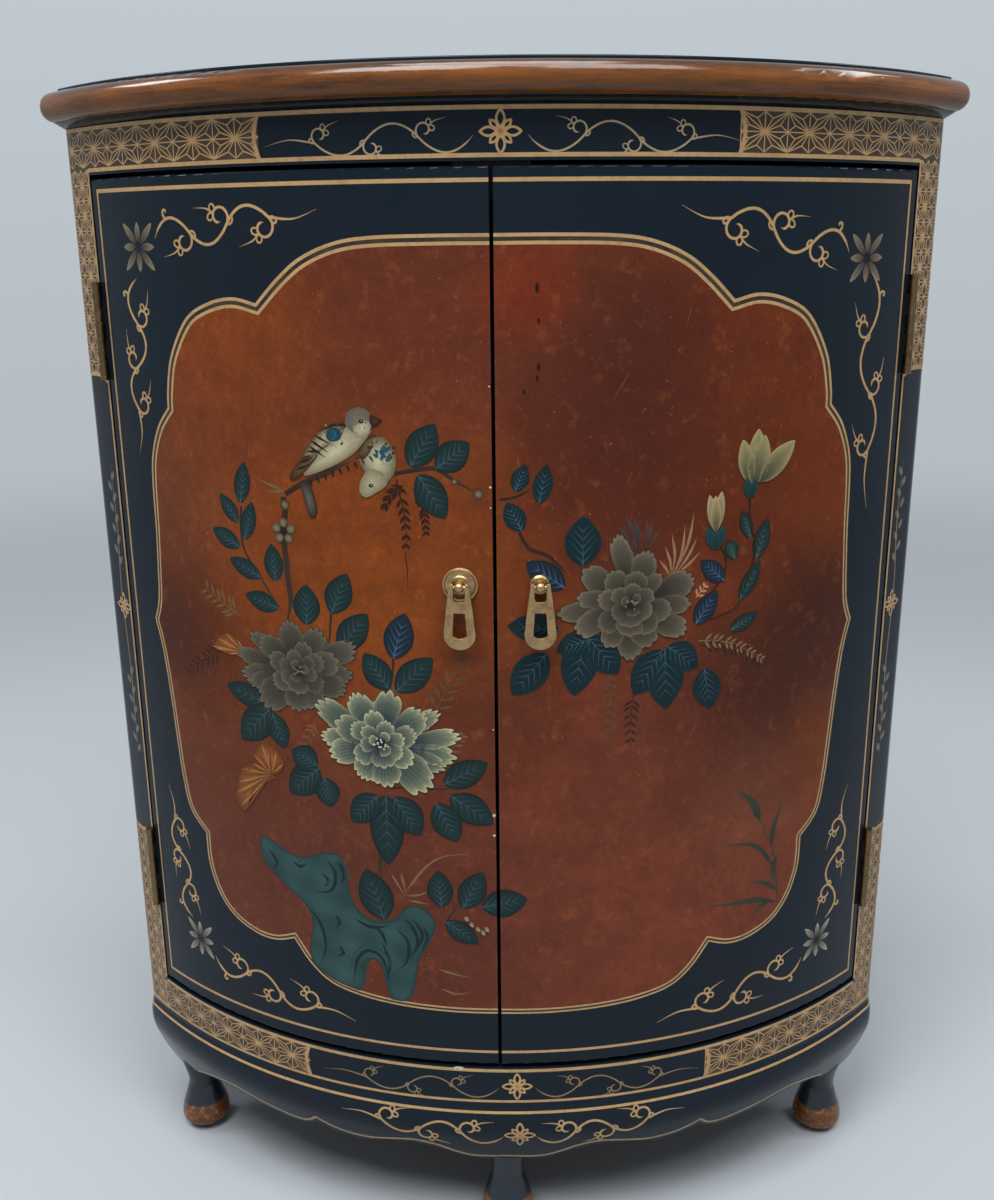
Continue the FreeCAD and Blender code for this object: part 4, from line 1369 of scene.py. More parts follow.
def fan(paint, base, tips, width, tint):
    """Long blades that spread from one point."""
    for x, y in tips:
        bend = ((base[0] + x) / 2 + (y - base[1]) * 0.08, (base[1] + y) / 2)
        paint.stroke([base, bend, (x, y)], width, tint, (0.6, 0.3), fade=mix(tint, CREAM, 0.06), step=3.0)
    paint.rise()


def speckle(paint, centre, spread, count, size, tint, seed):
    """Small brush dots, as on feathers."""
    chance = Random(seed)
    for i in range(count):
        angle = chance.uniform(0, 2 * pi)
        out = sqrt(chance.random())
        spot = (centre[0] + spread[0] * out * cos(angle), centre[1] + spread[1] * out * sin(angle))
        end = (spot[0] + chance.uniform(-size, size), spot[1] + size)
        paint.stroke([spot, end], size * 0.8, tint, (0.3, 0.5), step=2.0)


# Leaves of the picture: foot, tip and width

LEFT_LEAVES = [
    ((-204, 635), (-198, 667), 15), ((-207, 620), (-223, 641), 13), ((-202, 607), (-193, 637), 14),
    ((-207, 601), (-233, 613), 15), ((-189, 579), (-218, 591), 15), ((-176, 577), (-178, 606), 17),
    ((-175, 556), (-205, 564), 16), ((-151, 545), (-150, 577), 23), ((-130, 556), (-116, 588), 22),
    ((-125, 528), (-101, 558), 23), ((-86, 499), (-105, 527), 22), ((-81, 498), (-52, 526), 23),
    ((-65, 669), (-46, 700), 23), ((-46, 668), (-22, 687), 22), ((-59, 664), (-40, 632), 23),
    ((-188, 475), (-231, 486), 20), ((-188, 473), (-219, 441), 28), ((-187, 469), (-177, 440), 20),
    ((-147, 428), (-175, 403), 26), ((-148, 430), (-171, 440), 24), ((-143, 421), (-139, 396), 22),
    ((-98, 411), (-121, 386), 24), ((-92, 412), (-92, 352), 28), ((-86, 411), (-65, 380), 27),
    ((-46, 424), (-12, 443), 22), ((-41, 415), (-8, 392), 24), ((-52, 408), (-36, 376), 24),
    ((-97, 302), (-111, 346), 29), ((-50, 318), (-52, 350), 21), ((-33, 318), (-17, 350), 22),
    ((-18, 320), (18, 327), 24), ((-47, 306), (-21, 287), 17),
]
RIGHT_LEAVES = [
    ((10, 652), (18, 671), 13), ((27, 643), (33, 671), 14), ((15, 623), (4, 644), 16),
    ((59, 596), (59, 633), 27), ((33, 530), (7, 498), 26), ((61, 542), (53, 496), 28),
    ((63, 542), (87, 512), 26), ((66, 540), (40, 532), 20), ((121, 528), (99, 494), 26),
    ((123, 528), (125, 480), 30), ((125, 530), (150, 511), 24), ((156, 509), (162, 476), 24),
    ((42, 548), (4, 552), 22),
]
BLUE_LEAVES = [
    ((-82, 524), (-72, 560), 23), ((46, 580), (18, 600), 20),
    ((147, 545), (164, 570), 17), ((170, 577), (150, 594), 15),
]
SLENDER_LEAVES = [
    ((191, 608), (183, 629), 11), ((197, 591), (206, 621), 14), ((184, 560), (201, 589), 13),
    ((177, 537), (201, 548), 12), ((178, 593), (172, 608), 12),
]
LEAF_KINDS = (
    (LEFT_LEAVES, LEAF_TEAL, LEAF_VEIN, LEAF_DARK),
    (RIGHT_LEAVES, LEAF_NAVY, LEAF_VEIN_COOL, LEAF_RIM),
    (BLUE_LEAVES, LEAF_BLUE, LEAF_VEIN_BLUE, LEAF_DARK),
    (SLENDER_LEAVES, LEAF_TEAL, LEAF_VEIN_GREEN, LEAF_DARK),
)

# Twigs and buds of the left door: points and width, place and size

LEFT_TWIGS = [
    ([(-165, 643), (-164, 632), (-167, 617), (-166, 600), (-165, 580), (-164, 562), (-170, 540)], 5.0),
    ([(-163, 645), (-146, 655), (-130, 662), (-107, 673)], 4.0),
    ([(-76, 664), (-60, 667), (-46, 668), (-32, 659), (-15, 650)], 3.0),
    ([(-203, 633), (-205, 618), (-203, 599), (-189, 578), (-177, 560), (-168, 550)], 1.8),
    ([(-130, 557), (-132, 540), (-134, 524)], 1.8),
    ([(-82, 524), (-84, 507), (-92, 492)], 1.8),
    ([(-94, 411), (-95, 380), (-99, 352), (-97, 330)], 4.0),
    ([(-88, 418), (-70, 420), (-46, 420), (-30, 424)], 1.6),
    ([(-46, 306), (-40, 316), (-34, 326)], 1.4),
]
BUDS = [((-164, 637), 4.2), ((-33, 659), 2.4), ((-16, 650), 4.0)]


def paint_left_branch(paint):
    for points, width in LEFT_TWIGS:
        paint.stroke(points, width, TWIG, (0.0, 0.3), fade=mix(TWIG, ASH_BODY, 0.3))
        paint.rise()
    for tip in ((-189, 656), (-180, 646)):
        paint.stroke([(-164, 647), tip], 2.4, colour(104, 88, 58), (0.3, 0.7))
    for spot, size in BUDS:
        paint.dot(spot, size, TWIG, colour(124, 108, 86))
        paint.rise()


def paint_blossom(paint, centre, size):
    for i in range(5):
        angle = pi / 2 + i * 2 * pi / 5
        paint.dot(polar(centre, size, angle), size * 0.52, ASH_BODY, colour(126, 114, 86), 1.1, angle)
    paint.rise()
    paint.dot(centre, size * 0.42, colour(40, 28, 24))
    paint.rise()


# Birds and butterflies

def shaded(paint, outline, rim, heart):
    """A smooth closed shape, such as a wing."""
    paint.blob(closed(outline, 4.0), rim, heart)
    paint.rise()


def speckles(paint, *kinds):
    """Several kinds of brush dots, under all that follows."""
    for kind in kinds:
        speckle(paint, *kind)
    paint.rise_over_strokes()


def bird_eye(paint, centre, size):
    paint.dot(centre, size, colour(28, 21, 18), stretch=1.3)
    paint.rise()
    paint.dot((centre[0] + 0.3, centre[1] + 0.3), 0.4, BELLY)
    paint.rise()


UPPER_WING_BARS = [
    ((-139, 686), (-126, 678)), ((-143, 678), (-132, 678)), ((-149, 669), (-138, 674)),
    ((-136, 690), (-124, 684)), ((-118, 699), (-132, 693)), ((-141, 682), (-128, 674)),
    ((-152, 664), (-140, 669)), ((-110, 699), (-122, 697)),
]


def paint_upper_bird(paint):
    tail = [(-146, 674), (-158, 660), (-155, 656), (-146, 662), (-134, 676)]
    shaded(paint, tail, colour(52, 36, 24), colour(96, 72, 48))
    belly = [
        (-92, 694), (-106, 678), (-125, 667), (-146, 660), (-141, 670), (-131, 682), (-118, 692), (-104, 700)]
    shaded(paint, belly, colour(120, 108, 82), BELLY)
    wing = [(-112, 700), (-126, 697), (-139, 686), (-150, 668), (-142, 672), (-130, 680), (-116, 688)]
    shaded(paint, wing, colour(70, 54, 38), colour(170, 156, 122))
    speckles(
        paint, ((-126, 686), (12, 6), 26, 2.2, colour(44, 34, 28), 3),
        ((-122, 692), (12, 5), 16, 1.8, colour(196, 186, 150), 4))
    paint.dot((-121, 691), 5.2, colour(30, 58, 64), colour(34, 76, 88), 1.2, 0.3)
    paint.rise()
    speckles(
        paint, ((-121, 690), (6, 4.5), 22, 2.4, colour(26, 52, 72), 8),
        ((-121, 690), (6, 4.5), 12, 2.0, colour(60, 122, 136), 9))
    for start, end in UPPER_WING_BARS:
        paint.stroke([start, end], 2.0, colour(38, 26, 20), (0.2, 0.6))
    paint.rise()
    speckles(paint, ((-104, 686), (9, 7), 16, 1.6, colour(104, 94, 74), 5))
    head = [(-112, 699), (-110, 707), (-101, 711), (-93, 707), (-91, 699), (-96, 692), (-106, 693)]
    shaded(paint, head, colour(92, 86, 76), colour(108, 102, 90))
    cheek = [(-106, 697), (-97, 702), (-92, 698), (-96, 691), (-104, 690)]
    shaded(paint, cheek, colour(132, 122, 96), BELLY)
    beak = [(-93, 706), (-84, 701.5), (-92, 697)]
    shaded(paint, beak, colour(40, 25, 20), colour(72, 48, 38))
    speckles(paint, ((-99, 696), (6, 4), 12, 1.4, colour(84, 76, 60), 6))
    bird_eye(paint, (-99.5, 701), 1.5)


def paint_lower_bird(paint):
    tail = [(-150, 655), (-142, 654), (-137, 634), (-143, 629)]
    shaded(paint, tail, colour(44, 36, 32), colour(92, 88, 74))
    body = [(-104, 676), (-94, 688), (-84, 690), (-76, 681), (-75, 668), (-82, 657), (-92, 656), (-98, 664)]
    shaded(paint, body, colour(96, 84, 60), BELLY)
    back = [(-105, 675), (-95, 690), (-86, 690), (-92, 682), (-98, 674)]
    shaded(paint, back, colour(52, 38, 28), colour(104, 84, 56))
    speckles(paint, ((-86, 676), (10, 10), 30, 2.4, colour(52, 42, 32), 12))
    speckles(
        paint, ((-84, 677), (7, 5.5), 34, 3.0, colour(36, 74, 86), 13),
        ((-85, 676), (6, 5), 16, 2.2, colour(58, 106, 116), 14),
        ((-80, 668), (6, 9), 20, 1.8, colour(86, 76, 58), 15))
    head = [(-102, 658), (-95, 667), (-84, 664), (-82, 656), (-90, 650), (-98, 646), (-103, 650)]
    shaded(paint, head, colour(122, 113, 88), colour(166, 158, 128))
    speckles(paint, ((-92, 657), (8, 7), 20, 1.6, colour(96, 86, 66), 16))
    bird_eye(paint, (-94, 655), 1.4)
    for i in range(9):
        spot = (-142 + 6 * i, 657 + 2.4 * i)
        paint.stroke([spot, (spot[0] + 2, spot[1] - 4)], 1.6, colour(40, 28, 20), (0.0, 0.6), step=2.0)
    paint.rise()


SMALL_WINGS = [[(-243, 516), (-232, 527), (-222, 529), (-210, 521), (-206, 514), (-226, 512)]]
LARGE_WINGS = [
    [(-208, 430), (-199, 441), (-185, 437), (-179, 427), (-186, 417), (-198, 419)],
    [(-196, 420), (-189, 413), (-206, 402), (-214, 390), (-221, 377), (-229, 387), (-226, 402), (-221, 415),
     (-209, 422)],
]


def paint_butterfly(paint, wings, centre):
    """Folded orange wings with pleats that run out from the body."""
    for outline in wings:
        shaded(paint, outline, colour(100, 54, 26), colour(150, 90, 46))
        for i, spot in enumerate(closed(outline, 6.0)):
            pleat = colour(84, 44, 24) if i % 2 else colour(134, 80, 42)
            lit = colour(112, 64, 34) if i % 2 else colour(170, 120, 76)
            paint.stroke([centre, mix(centre, spot, 0.97)], 1.2, pleat, (0.2, 0.15), fade=lit)
        paint.rise_over_strokes()


# The scholar's rock

ROCK_OUTLINE = [
    (-207, 357), (-198, 357), (-181, 349), (-165, 347), (-147, 354), (-133, 353), (-129, 340), (-128, 328),
    (-122, 311), (-108, 300), (-90, 302), (-78, 315), (-66, 316), (-56, 304), (-60, 288), (-70, 268),
    (-77, 236), (-92, 228), (-102, 262), (-113, 262), (-121, 234), (-146, 240), (-163, 254), (-163, 274),
    (-160, 290), (-166, 304), (-179, 315), (-192, 325), (-205, 338),
]
ROCK_FOLDS = [
    [(-200, 348), (-192, 338), (-196, 330)], [(-176, 342), (-170, 338), (-164, 342)],
    [(-146, 350), (-138, 338), (-142, 322), (-158, 318)], [(-136, 350), (-130, 338), (-134, 328)],
    [(-166, 304), (-154, 290), (-150, 270), (-156, 250)], [(-124, 300), (-108, 294), (-92, 298)],
    [(-88, 296), (-78, 284), (-80, 266), (-88, 258)], [(-74, 306), (-66, 292), (-72, 276)],
    [(-126, 240), (-122, 262), (-112, 272), (-100, 266), (-94, 240)],
    [(-100, 282), (-94, 262), (-98, 246)], [(-140, 300), (-136, 294), (-140, 288)],
    [(-138, 272), (-134, 266), (-140, 262)], [(-82, 308), (-74, 298), (-70, 284), (-78, 268)],
    [(-66, 300), (-62, 290), (-68, 276)], [(-108, 296), (-100, 290), (-96, 278)],
    [(-150, 336), (-144, 330), (-148, 324)],
]
DOUBLE_FOLDS = 9
ROCK_FLOOR_GAP = 5.0


def strip_fill(paint, outline):
    """Fills a closed outline by level strips, clouded, and darker towards its edges."""
    edges = list(zip(outline, outline[1:] + outline[:1]))
    levels = sorted({round(y, 2) for x, y in outline})
    hair = 0.012
    for low, high in zip(levels, levels[1:]):
        if high - low < 3 * hair:
            continue
        cuts = []
        for level in (low + hair, high - hair):
            crossings = []
            for (ax, ay), (bx, by) in edges:
                if (ay > level) != (by > level):
                    crossings.append(ax + (bx - ax) * (level - ay) / (by - ay))
            cuts.append(sorted(crossings))
        for i in range(0, min(len(cuts[0]), len(cuts[1])) - 1, 2):
            columns = max(3, round((cuts[0][i + 1] - cuts[0][i]) / 2.5))
            rows = []
            tints = []
            for level, crossings in ((low, cuts[0]), (high, cuts[1])):
                left, right = crossings[i], crossings[i + 1]
                row = []
                shades = []
                for j in range(columns + 1):
                    x = left + (right - left) * j / columns
                    cloud = sin(0.13 * x + 0.09 * level) * sin(0.07 * x - 0.14 * level + 1.7)
                    edge = 0.3 * abs(2 * j / columns - 1) ** 3
                    row.append((x, level))
                    shades.append(mix(ROCK_TEAL, ROCK_DARK, edge + 0.22 + 0.22 * cloud))
                rows.append(row)
                tints.append(shades)
            paint.grid(rows, tints)


def paint_rock(paint):
    outline = []
    for x, y in closed(ROCK_OUTLINE, 4.0):
        outline.append((x, max(y, height_at(PANEL_FOOT, SEAM_ARC - x) + ROCK_FLOOR_GAP)))
    strip_fill(paint, outline)
    paint.rise()
    paint.stroke(outline + outline[:1], 1.6, mix(ROCK_DARK, ROCK_TEAL, 0.35))
    for fold in ROCK_FOLDS:
        paint.stroke(fold, 3.0, ROCK_DARK, (0.3, 0.4), step=3.0)
    paint.rise()
    for fold in ROCK_FOLDS[:DOUBLE_FOLDS]:
        paint.stroke(beside(fold, 4.2), 2.0, mix(ROCK_DARK, ROCK_TEAL, 0.55), (0.4, 0.4), step=3.0)
    paint.rise()


# The magnolia: petals of the flower, the bud and the green cups, as foot, tip and width

MAGNOLIA_STEM = colour(22, 42, 42)
MAGNOLIA_FLOWER = [
    ((193, 652), (194, 689), 16), ((188, 650), (181, 682), 14),
    ((191, 648), (200, 684), 19), ((197, 650), (227, 678), 17),
]
MAGNOLIA_BUD = [((161, 616), (155, 643), 9), ((161, 616), (165, 645), 9), ((161, 615), (160, 642), 9)]
MAGNOLIA_CUPS = [
    ((189, 638), (185, 654), 7), ((189, 638), (194, 653), 7), ((161, 602), (154, 619), 9),
    ((161, 602), (168, 619), 9), ((161, 602), (161, 616), 8),
]


def paint_magnolia(paint):
    for stem in (
            [(189, 639), (190, 620), (196, 600), (190, 575), (182, 556), (160, 548)],
            [(161, 609), (170, 596), (168, 580), (150, 560)]):
        paint.stroke(stem, 1.0, TWIG, (0.0, 0.5))
    for petals, bright, shade in (
            (MAGNOLIA_FLOWER, colour(156, 142, 100), colour(58, 62, 44)),
            (MAGNOLIA_BUD, colour(168, 150, 110), colour(76, 70, 50)),
            (MAGNOLIA_CUPS, colour(32, 66, 66), MAGNOLIA_STEM)):
        for base, tip, width in petals:
            pointed_petal(paint, base, tip, width, bright, shade)


# Ferns: points, reach of the leaflets, colour and pairs of leaflets. Fans: foot, tips, width and colour

FERNS = [
    ([(-212, 545), (-228, 554), (-250, 566)], 14, colour(102, 82, 52), 6),
    ([(-234, 513), (-256, 501), (-279, 486)], 12, colour(46, 31, 22), 7),
    ([(-52, 482), (-40, 504), (-27, 530)], 14, colour(88, 68, 42), 7),
    ([(-140, 300), (-160, 308), (-176, 304)], 8, colour(110, 84, 56), 5),
    ([(152, 528), (182, 521), (210, 501)], 7, colour(42, 29, 22), 9),
    ([(150, 532), (180, 526), (213, 506)], 8, colour(120, 97, 70), 11),
    ([(-148, 466), (-156, 452), (-160, 440)], 8, colour(112, 76, 48), 4),
    ([(-42, 450), (-34, 460), (-26, 470)], 8, colour(112, 80, 54), 4),
    ([(80, 516), (81, 484), (79, 452)], 9, colour(84, 64, 46), 8),
    ([(99, 494), (97, 470), (98, 450)], 9, colour(48, 33, 25), 6),
    ([(147, 566), (152, 572), (157, 578)], 6, colour(170, 124, 92), 3),
]
FANS = [
    ((126, 582), [(143, 631), (136, 622), (146, 612), (149, 601), (121, 607), (126, 616), (117, 597),
                  (141, 594)], 2.2, colour(136, 102, 74)),
    ((100, 603), [(90, 632), (97, 629), (85, 624), (84, 615)], 3.2, colour(44, 34, 50)),
    ((103, 603), [(110, 626), (116, 620), (106, 628)], 3.0, colour(58, 36, 36)),
]
HANGING_FERNS = [
    ([(-75, 660), (-71, 640), (-69, 622), (-70, 604)], 9),
    ([(-62, 652), (-56, 640), (-54, 616)], 8),
    ([(-70, 656), (-80, 648), (-86, 636)], 8),
]

# Twigs and grass: points and width

RIGHT_TWIGS = [
    ([(-1, 646), (11, 648), (22, 654)], 2.0),
    ([(13, 622), (20, 610), (34, 604), (48, 590)], 2.6),
]
GRASS = [
    ([(237, 290), (234, 318), (228, 342), (212, 376), (204, 388)], 1.4),
    ([(214, 370), (206, 388), (190, 402)], 6.5),
    ([(228, 345), (229, 362), (238, 382)], 5.0),
    ([(230, 326), (214, 346), (196, 353), (177, 354)], 4.0),
    ([(236, 302), (222, 312), (204, 316)], 4.0),
    ([(237, 290), (214, 298), (190, 300), (166, 304)], 4.5),
    ([(226, 292), (216, 290), (210, 284)], 3.0),
    ([(234, 334), (230, 322), (234, 306)], 5.0),
]
DRY_BLADES = [
    [(-80, 327), (-64, 350), (-49, 362), (-30, 365), (-24, 361)],
    [(-90, 344), (-83, 332), (-79, 325)], [(-82, 346), (-80, 336), (-78, 326)],
    [(-78, 326), (-66, 328), (-58, 334)], [(-76, 322), (-60, 320)],
    [(-54, 262), (-40, 258), (-28, 256)], [(-52, 244), (-40, 240), (-28, 242)],
]
BERRIES = [(-30, 309), (-26, 304), (-21, 300), (-17, 297), (-14, 300)]


def paint_small_plants(paint):
    for plant in FERNS:
        fern(paint, *plant)
    for plant in FANS:
        fan(paint, *plant)
    for points, reach in HANGING_FERNS:
        fern(paint, points, reach, RUST, 7, 1.3, 0.6)
    paint.stroke([(-70, 606), (-69, 590), (-69, 576)], 0.8, RUST, (0.0, 0.6))
    for points, width in RIGHT_TWIGS:
        paint.stroke(points, width, TWIG, (0.0, 0.3))
    for points, width in GRASS:
        paint.stroke(points, width, colour(42, 50, 40), (0.15, 0.6), fade=colour(54, 64, 50), step=3.0)
    paint.rise()
    for points in DRY_BLADES:
        paint.stroke(points, 2.0, STRAW, (0.2, 0.6))
    paint.rise()


def paint_door_picture(paint):
    """Birds on a branch, peonies, a scholar's rock and a magnolia, spread over both doors."""
    paint_left_branch(paint)
    paint_small_plants(paint)
    paint_rock(paint)
    for leaves, body, vein, edge in LEAF_KINDS:
        for base, tip, width in leaves:
            leaf(paint, base, tip, width, body, vein, edge)
    paint_blossom(paint, (-166, 617), 6.5)
    paint_lower_bird(paint)
    paint_upper_bird(paint)
    paint_butterfly(paint, SMALL_WINGS, (-210, 516))
    paint_butterfly(paint, LARGE_WINGS, (-191, 416))
    paint_magnolia(paint)
    peony(paint, (-160, 507), 56, WIDE_PEONY, ASH_PEONY, 11, True)
    peony(paint, (-94, 455), 61, WIDE_PEONY, CREAM_PEONY, 23)
    peony(paint, (96, 565), 52, ROUND_PEONY, SAND_PEONY, 7, ragged=0.09)
    for spot in BERRIES:
        paint.dot(spot, 1.6, colour(112, 96, 72), colour(158, 142, 112), 1.5, -0.9)
    paint.rise()


# Wear: height and size of the chips on the seam, and arc length, height and size of the dark drips

SCRATCHES = 34
SCRATCH_MARGIN = 8
CHIPS = [(655, 0.9), (640, 0.6), (399, 1.3), (382, 1.1), (470, 0.6), (726, 0.6)]
DRIPS = [(26, 792, 1.5), (27, 770, 1.0), (27, 739, 1.3), (26, 731, 1.0), (17, 722, 0.9)]


def paint_wear(paint):
    """Faint scratches in the warm ground, dark drips, and chips along the seam."""
    chance = Random(31)
    for i in range(SCRATCHES):
        arc = chance.uniform(-270, 270)
        height = chance.uniform(330, 790)
        lean = chance.uniform(-0.6, 0.6)
        reach = chance.uniform(4, 26)
        end = (arc + reach * sin(lean), height + reach * cos(lean))
        out = max(abs(arc - SEAM_ARC), abs(end[0] - SEAM_ARC))
        low = height_at(PANEL_FOOT, out) + SCRATCH_MARGIN
        high = height_at(PANEL_CROWN, out) - SCRATCH_MARGIN
        if low < height and end[1] < high:
            paint.stroke([(arc, height), end], 0.45, colour(132, 74, 42), (0.4, 0.4), step=6.0)
    for height, size in CHIPS:
        paint.dot((SEAM_ARC - SEAM_HALF - 1.6, height), size, colour(176, 160, 140), WHITE)
    for arc, height, size in DRIPS:
        paint.dot((arc, height), size, colour(48, 22, 17), colour(34, 17, 14), 2.4, pi / 2)
    for height in range(500, 640, 9):
        paint.dot((SEAM_ARC + SEAM_HALF + 1.0, height + 3 * sin(height)), 0.4, colour(120, 96, 84))
    paint.rise_over_strokes()


# Operators

class CABINET_OT_carcass(bpy.types.Operator):
    """Lacquer on the rails, stiles, apron and sides, and the brown moulding round the top"""
    bl_idname = "cabinet.carcass"
    bl_label = "Carcass finish"

    def execute(self, context):
        finish = context.scene.cabinet_finish
        lacquer = tuple(finish.lacquer)
        brown = tuple(finish.moulding)
        shade = tuple(finish.moulding_dark)
        black = lacquer_material("blue_black_lacquer", lacquer)
        for node in (
                "frieze_rail", "bottom_rail", "stile_left", "stile_right", "cove_moulding", "apron",
                "top_panel"):
            smooth_copy(node, black)
        for node in (
                "side_panel_left", "side_panel_right", "side_skirt_left", "side_skirt_right", "back_post"):
            finish_node(node, black)
        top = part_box("top_moulding")[1].z
        gloss = moulding_material("speckled_brown_gloss", brown, shade, top)
        smooth_copy("top_moulding", gloss)
        wood = timber_material("plain_timber", tuple(finish.timber))
        for node in ("bottom_board", "sub_top", "shelf", "leg_blocks"):
            finish_node(node, wood)
        toe = context.scene.cabinet_sizes.toe_height
        toes = leg_material("leg_lacquer", lacquer, brown, shade, toe)
        for side in ("left", "right", "front", "back"):
            smooth_copy(f"leg_{side}", toes, 50)
        for side, profile in (("left", ANKLE_FLARE), ("right", ANKLE_FLARE), ("front", FRONT_FLARE)):
            ankle_flare(side, profile, toes)
        finish_node("door_catch", plastic_material("catch_plastic"))
        return {"FINISHED"}


class CABINET_OT_doors(bpy.types.Operator):
    """Lacquer on both doors"""
    bl_idname = "cabinet.doors"
    bl_label = "Doors"

    def execute(self, context):
        black = lacquer_material("door_lacquer", tuple(context.scene.cabinet_finish.lacquer))
        for name in DOORS:
            smooth_copy(f"door_{name}", black)
        return {"FINISHED"}


class CABINET_OT_hardware(bpy.types.Operator):
    """Aged brass hinges and pulls, with their screws, nuts and strikes"""
    bl_idname = "cabinet.hardware"
    bl_label = "Hinges and pulls"

    def execute(self, context):
        tint = tuple(context.scene.cabinet_finish.brass)
        brass = brass_material("aged_brass", tint)
        hinge = brass_material("dark_hinge_brass", mix(tint, colour(70, 58, 46), 0.7))
        steel = steel_material("dull_steel")
        for name in DOORS:
            smooth_copy(f"pendant_{name}", brass, 40, 0.0006)
            smooth_copy(f"pull_post_{name}", brass, 40)
            finish_node(f"pull_nut_{name}", steel)
            finish_node(f"strike_plate_{name}", steel)
            finish_node(f"door_leaf_screws_{name}", hinge)
            for level in ("upper", "lower"):
                for part in ("frame_leaf", "door_leaf", "hinge_pin"):
                    smooth_copy(f"{part}_{level}_{name}", hinge, 40)
        smooth_copy("rosette_left", brass, 40)
        smooth_copy("pull_washer_right", brass, 40)
        finish_node("frame_leaf_screws", hinge)
        finish_node("shelf_pins", steel)
        return {"FINISHED"}


class CABINET_OT_panels(bpy.types.Operator):
    """The clouded warm ground of the doors and its double gold outline"""
    bl_idname = "cabinet.panels"
    bl_label = "Painted panels"

    def execute(self, context):
        finish = context.scene.cabinet_finish
        ground = panel_material("cinnabar_ground")
        gold = gold_material("panel_gold")
        for name, (side, keep) in DOORS.items():
            field = panel_ground(side, tuple(finish.cinnabar))
            field.lay(f"panel_ground_{name}", f"door_{name}", ground, "black_lacquer", keep)
            lines = panel_outline(side, tuple(finish.gold), colour(28, 20, 14))
            lines.lay(f"panel_outline_{name}", f"door_{name}", gold, "black_lacquer", keep)
        return {"FINISHED"}


class CABINET_OT_door_gold(bpy.types.Operator):
    """Gold lines, corner flowers and scrolls on the doors"""
    bl_idname = "cabinet.door_gold"
    bl_label = "Gold on the doors"

    def execute(self, context):
        pens = GoldPens(context.scene)
        scroll = gold_material("door_gold")
        for name, (side, keep) in DOORS.items():
            door_gold(side, pens).lay(f"door_gold_{name}", f"door_{name}", scroll, "black_lacquer")
        return {"FINISHED"}


class CABINET_OT_door_picture(bpy.types.Operator):
    """Birds, flowers, leaves and rock in colours, drawn over both doors and parted at the seam"""
    bl_idname = "cabinet.door_picture"
    bl_label = "Painted flowers and birds"

    def execute(self, context):
        colours = brush_material("painted_colours")
        paint = Paint()
        paint.rise(3)
        paint_wear(paint)
        paint_door_picture(paint)
        for name, (side, keep) in DOORS.items():
            paint.lay(f"flowers_and_birds_{name}", f"door_{name}", colours, "black_lacquer", keep)
        return {"FINISHED"}


class CABINET_OT_carcass_gold(bpy.types.Operator):
    """Hemp-leaf bands, border lines and scrolls on the frieze, stiles, rail and apron"""
    bl_idname = "cabinet.carcass_gold"
    bl_label = "Gold on the carcass"

    def execute(self, context):
        pens = GoldPens(context.scene)
        material = gold_material("carcass_gold")
        for name, draw in (
                ("frieze_gold", frieze_gold), ("stile_gold", stile_gold),
                ("rail_gold", rail_gold), ("apron_gold", apron_gold)):
            draw(pens).lay(name, "carcass", material, "black_lacquer")
        return {"FINISHED"}


# The stage, in metres

FLOOR_RADIUS = 5.0
WALL_HEIGHT = 2.3
FLOOR_BEND = 2.0
SKY_TINT = (0.84, 0.92, 1.0, 1.0)
SKY_STRENGTH = 0.2
LAMP_AIM = Vector((0, 0, 0.5))
LAMPS = (
    ("key_softbox", (-0.9, -1.7, 3.7), 1.6, 112),
    ("fill_softbox", (1.0, -1.7, 3.6), 1.6, 72),
    ("top_softbox", (0.0, -0.3, 3.2), 1.2, 40),
    ("left_softbox", (-2.4, 0.2, 2.8), 0.7, 22),
    ("right_softbox", (2.4, 0.2, 2.8), 0.7, 20),
)
CAMERA_PLACE = (0.01703, -1.1050, 0.8249)
CAMERA_YAW = radians(-1.365)
CAMERA_PITCH = radians(16.376)
CAMERA_ROLL = radians(-0.601)
CAMERA_LENS = 36.97
CAMERA_SENSOR = 36.0


def add_floor(finish):
    """A round floor that bends up into a low wall."""
    bpy.ops.object.select_all(action="DESELECT")
    bpy.ops.mesh.primitive_circle_add(vertices=96, radius=FLOOR_RADIUS, fill_type="NGON")
    floor = bpy.context.active_object
    floor.name = "floor_and_backdrop"
    bpy.ops.object.mode_set(mode="EDIT")
    bpy.ops.mesh.select_mode(type="EDGE")
    bpy.ops.mesh.select_all(action="SELECT")
    bpy.ops.mesh.extrude_edges_move(TRANSFORM_OT_translate={"value": (0, 0, WALL_HEIGHT)})
    bpy.ops.object.mode_set(mode="OBJECT")
    for edge in floor.data.edges:
        edge.select = all(floor.data.vertices[v].co.z < 0.1 for v in edge.vertices)
    bpy.ops.object.mode_set(mode="EDIT")
    bpy.ops.mesh.bevel(offset=FLOOR_BEND, segments=24)
    bpy.ops.object.mode_set(mode="OBJECT")
    bpy.ops.object.shade_smooth()
    pale = backdrop_material("pale_backdrop", tuple(finish.backdrop), tuple(finish.haze))
    floor.data.materials.append(pale)


def add_world(scene):
    """Soft light from all round, and a plain haze where the camera, gloss or glass looks at it."""
    world = bpy.data.worlds.new("studio")
    world.use_nodes = True
    tree = world.node_tree
    light = tree.nodes["Background"]
    light.inputs["Color"].default_value = SKY_TINT
    light.inputs["Strength"].default_value = SKY_STRENGTH
    haze = tree.nodes.new("ShaderNodeBackground")
    haze.inputs["Color"].default_value = (*scene.cabinet_finish.haze, 1.0)
    mix_shaders(
        tree, seen_rays(tree), light.outputs["Background"], haze.outputs["Background"], "World Output")
    scene.world = world


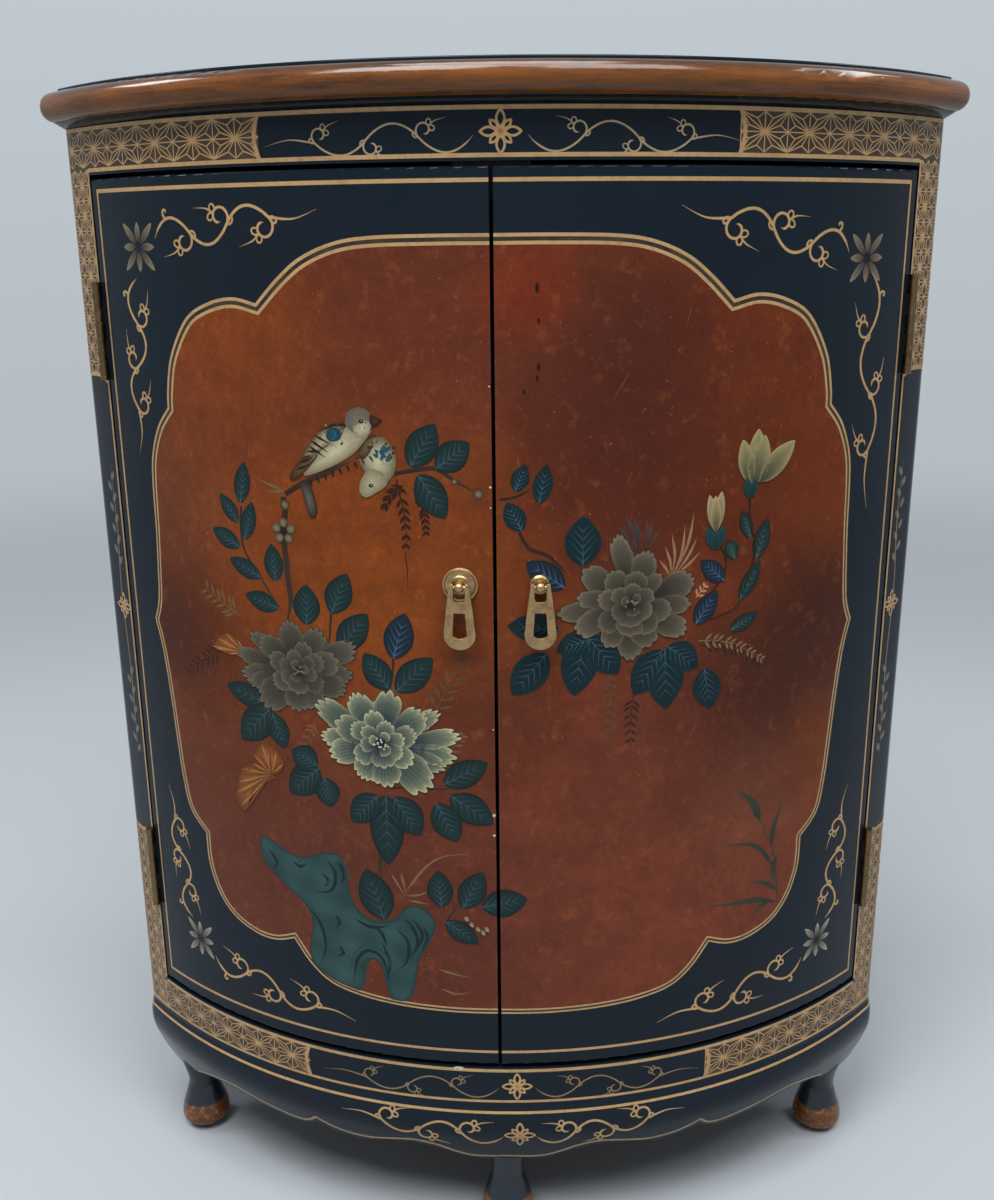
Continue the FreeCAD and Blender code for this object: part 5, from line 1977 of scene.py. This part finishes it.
def add_lamps():
    for name, place, size, power in LAMPS:
        bpy.ops.object.light_add(type="AREA", location=place)
        lamp = bpy.context.active_object
        lamp.name = name
        lamp.data.size = size
        lamp.data.energy = power
        lamp.rotation_euler = (LAMP_AIM - Vector(place)).to_track_quat("-Z", "Y").to_euler()


def add_camera(scene):
    yaw, pitch, roll = CAMERA_YAW, CAMERA_PITCH, CAMERA_ROLL
    forward = Vector((sin(yaw) * cos(pitch), cos(yaw) * cos(pitch), -sin(pitch)))
    level = Vector((cos(yaw), -sin(yaw), 0.0))
    up = level.cross(forward)
    right = cos(roll) * level + sin(roll) * up
    top = cos(roll) * up - sin(roll) * level
    bpy.ops.object.camera_add(location=CAMERA_PLACE)
    camera = bpy.context.active_object
    camera.rotation_euler = Matrix((right, top, -forward)).transposed().to_euler()
    camera.data.lens = CAMERA_LENS
    camera.data.sensor_width = CAMERA_SENSOR
    scene.camera = camera


class CABINET_OT_stage(bpy.types.Operator):
    """Pale floor and backdrop, soft studio lights and the camera"""
    bl_idname = "cabinet.stage"
    bl_label = "Stage"

    def execute(self, context):
        add_floor(context.scene.cabinet_finish)
        add_world(context.scene)
        add_lamps()
        add_camera(context.scene)
        context.scene.view_settings.view_transform = "Standard"
        return {"FINISHED"}


OPERATORS = (
    CABINET_OT_carcass, CABINET_OT_doors, CABINET_OT_hardware, CABINET_OT_panels, CABINET_OT_door_gold,
    CABINET_OT_door_picture, CABINET_OT_carcass_gold, CABINET_OT_stage,
)


class CABINET_PT_sidebar(bpy.types.Panel):
    """Every step of the cabinet, in order"""
    bl_idname = "CABINET_PT_sidebar"
    bl_label = "Corner cabinet"
    bl_space_type = "VIEW_3D"
    bl_region_type = "UI"
    bl_category = "Cabinet"

    def draw(self, context):
        for operator in OPERATORS:
            self.layout.operator(operator.bl_idname)
        for name in CabinetFinish.__annotations__:
            self.layout.prop(context.scene.cabinet_finish, name)
        for name in CabinetSizes.__annotations__:
            self.layout.prop(context.scene.cabinet_sizes, name)


CLASSES = (CabinetFinish, CabinetSizes, *OPERATORS, CABINET_PT_sidebar)


def register():
    for cls in CLASSES:
        bpy.utils.register_class(cls)
    bpy.types.Scene.cabinet_finish = bpy.props.PointerProperty(type=CabinetFinish)
    bpy.types.Scene.cabinet_sizes = bpy.props.PointerProperty(type=CabinetSizes)


def unregister():
    del bpy.types.Scene.cabinet_sizes
    del bpy.types.Scene.cabinet_finish
    for cls in reversed(CLASSES):
        bpy.utils.unregister_class(cls)


def main():
    register()
    bpy.ops.cabinet.carcass()
    bpy.ops.cabinet.doors()
    bpy.ops.cabinet.hardware()
    bpy.ops.cabinet.panels()
    bpy.ops.cabinet.door_gold()
    bpy.ops.cabinet.door_picture()
    bpy.ops.cabinet.carcass_gold()
    bpy.ops.cabinet.stage()


if __name__ == "__main__":
    main()
